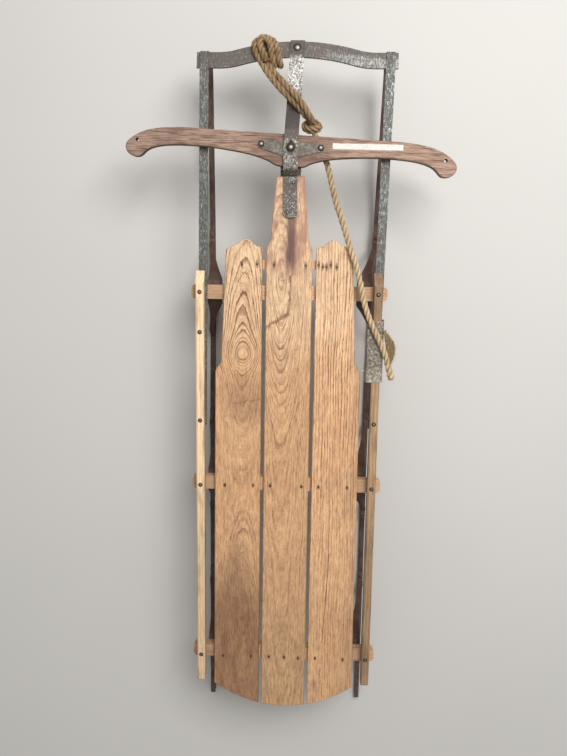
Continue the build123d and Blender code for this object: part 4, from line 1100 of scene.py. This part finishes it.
# %% [markdown]
# ## Small pieces
# Nail heads are low domes a few millimetres across, and all of them are one grid of rings.

# %% Nail heads
NAIL_RADIUS, NAIL_RISE, NAIL_SIDES = 0.0027, 0.0006, 14


def nail_heads(places, radius, rise):
    """Domes (nails, rings, around, 3). Ring by ring, from the sunk rim to the crown, share is the radius and
    height the rise, which together draw a low dome."""
    share = np.array((0.55, 1.0, 0.97, 0.85, 0.6, 0.25))
    height = np.array((-0.25, -0.2, 0.35, 0.7, 0.92, 1.0)) * rise
    ring = circles(ACROSS, ALONG, NAIL_SIDES) * radius
    rings = share[:, None, None] * ring + height[:, None, None] * UP
    wobble = chance.uniform(0.85, 1.15, (len(places), 1, 1, 1))
    middle = placed(np.column_stack([places, np.zeros(len(places))]))
    middle[:, 2] = DECK_TOP
    return middle[:, None, None] + rings[None] * wobble


all_nails = np.array([place for places in NAILS.values() for place in places], float)
NAIL_IRON = rivet_steel("nail_iron", tone(78, 54, 42), tone(108, 84, 68))
new_piece("slat_nails", nail_heads(all_nails, NAIL_RADIUS, NAIL_RISE), NAIL_IRON)

# %% [markdown]
# A short bright stub stands out of the inner face of the sheet mend, most likely the point of a pin that was
# driven through it from the outside.

# %% Pin through the mend
PIN_STATION, PIN_BELOW_TOP = 823.5, 0.012
PIN_ROOT, PIN_REACH, PIN_RADIUS, PIN_SIDES = 0.0008, 0.0115, 0.0013, 12


def pin_point(root):
    """One tube (1, rings, around, 3) that leaves its root along -X and narrows over its last third."""
    share, width = np.array(((0.0, 0.7, 0.85, 1.0), (1.0, 1.0, 0.8, 0.3)))
    tube = width[:, None, None] * (circles(ALONG, UP, PIN_SIDES) * PIN_RADIUS)
    tube[..., 0] += (root[0] - PIN_REACH * share)[:, None]
    tube[..., 1:] += root[1:]
    return tube[None]


sleeve_low, sleeve_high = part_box("repair_sleeve")
pin_y = placed([(0, PIN_STATION, 0)])[0, 1]
pin_root = (sleeve_low.x + PIN_ROOT, pin_y, sleeve_high.z - PIN_BELOW_TOP)
PIN_STEEL = rivet_steel("pin_steel", tone(196, 184, 178), tone(220, 212, 206))
new_piece("sleeve_pin", pin_point(pin_root), PIN_STEEL)

# %% [markdown]
# The right arm of the steering bar carries a paper strip. It is left blank: only paper, yellowed in patches,
# and its creases.

# %% Blank strip
STRIP_LOW, STRIP_HIGH = placed([(87, 1292, 0), (234.5, 1304.2, 0)])[:, :2]
STRIP_SKEW, STRIP_THICK = 0.0018, 0.00025
STRIP_RINGS, STRIP_WIDE = 60, 9


def paper_strip(low, high):
    """A closed thin sheet as one tube: each ring runs across the strip, over its top and back under it. Its
    edges wander by two sines, its ends lift by a high power, and its far end lies back by the skew."""
    along = np.linspace(0, 1, STRIP_RINGS)
    across = np.concatenate([np.linspace(0, 1, STRIP_WIDE), np.linspace(1, 0, STRIP_WIDE)])
    top = np.concatenate([np.ones(STRIP_WIDE), np.zeros(STRIP_WIDE)])
    x = low[0] + (high[0] - low[0]) * along
    wander = 0.0002 * np.sin(along * 37) + 0.00015 * np.sin(along * 91)
    y = low[1] + (high[1] - low[1]) * across[None] + wander[:, None] - STRIP_SKEW * along[:, None]
    curl = 0.0004 * (np.abs(2 * along - 1) ** 14)[:, None]
    lift = curl + 0.00006 * np.sin(along * 60 + 1)[:, None] + 0.00008
    z = BAR_TOP + lift + STRIP_THICK * top[None]
    return np.stack([np.broadcast_to(x[:, None], y.shape), y, z], -1)[None]


def paper_finish():
    """Off-white paper that has yellowed in patches, with fine creases darkened by painted shade."""
    f = Finish("blank_paper", specular=0.2)
    yellow = f.blots(18, 5, 0.0, 4.0, 0.6)
    crease = f.step(f.blots(6, 9, 4.0, 3.0, 0.6), 0.58, 0.66)
    paper = f.mix(f.step(yellow, 0.45, 0.75) * 0.5, tone(216, 212, 204), tone(194, 180, 156))
    # Creases are darker: painted shade.
    return f.done(f.shaded(paper, 1 - crease * 0.14), rough=yellow * 0.2 + 0.6, height=crease, depth=0.0001)


new_piece("blank_strip", paper_strip(STRIP_LOW, STRIP_HIGH), paper_finish(), "steering")

# %% [markdown]
# ## Floor and light
# A pale floor and soft daylight from above. The world gives an even light, and one large lamp ahead and
# to the right gives the soft shadows on the left of each piece.

# %% Floor and light
FLOOR_HALF = 6.0
WORLD_LIGHT = 0.45
LAMP_PLACE, LAMP_AIM, LAMP_SIZE, LAMP_POWER = (0.8, 1.4, 2.4), (0, 0.1, 0), 1.4, 75
bpy.context.scene.view_settings.view_transform = "Standard"


def floor(half):
    """A plain pale square under the sled."""
    corners = [(-half, -half, 0), (half, -half, 0), (half, half, 0), (-half, half, 0)]
    mesh = bpy.data.meshes.new("floor")
    mesh.from_pydata(corners, [], [(0, 1, 2, 3)])
    obj = bpy.data.objects.new("floor", mesh)
    bpy.context.scene.collection.objects.link(obj)
    f = Finish("pale_floor", specular=0.2)
    cloud = f.blots(400, 400, 0.0, 3.0)
    pale = f.mix(cloud * 0.5, tone(206, 203, 198), tone(196, 193, 188))
    mesh.materials.append(f.done(pale, rough=0.7 + cloud * 0.1))


def lamp(name, place, target, size, power):
    """A square area lamp at a place, facing its target."""
    data = bpy.data.lights.new(name, "AREA")
    data.shape = "SQUARE"
    data.size = size
    data.energy = power
    obj = bpy.data.objects.new(name, data)
    obj.location = place
    obj.rotation_euler = (Vector(target) - Vector(place)).to_track_quat("-Z", "Y").to_euler()
    bpy.context.scene.collection.objects.link(obj)


floor(FLOOR_HALF)
world = bpy.data.worlds.new("studio")
world.use_nodes = True
background = world.node_tree.nodes["Background"]
background.inputs["Color"].default_value = (1, 1, 1, 1)
background.inputs["Strength"].default_value = WORLD_LIGHT
bpy.context.scene.world = world
lamp("overhead", LAMP_PLACE, LAMP_AIM, LAMP_SIZE, LAMP_POWER)
print("lamps", len(bpy.data.lights), "finishes", len(bpy.data.materials))
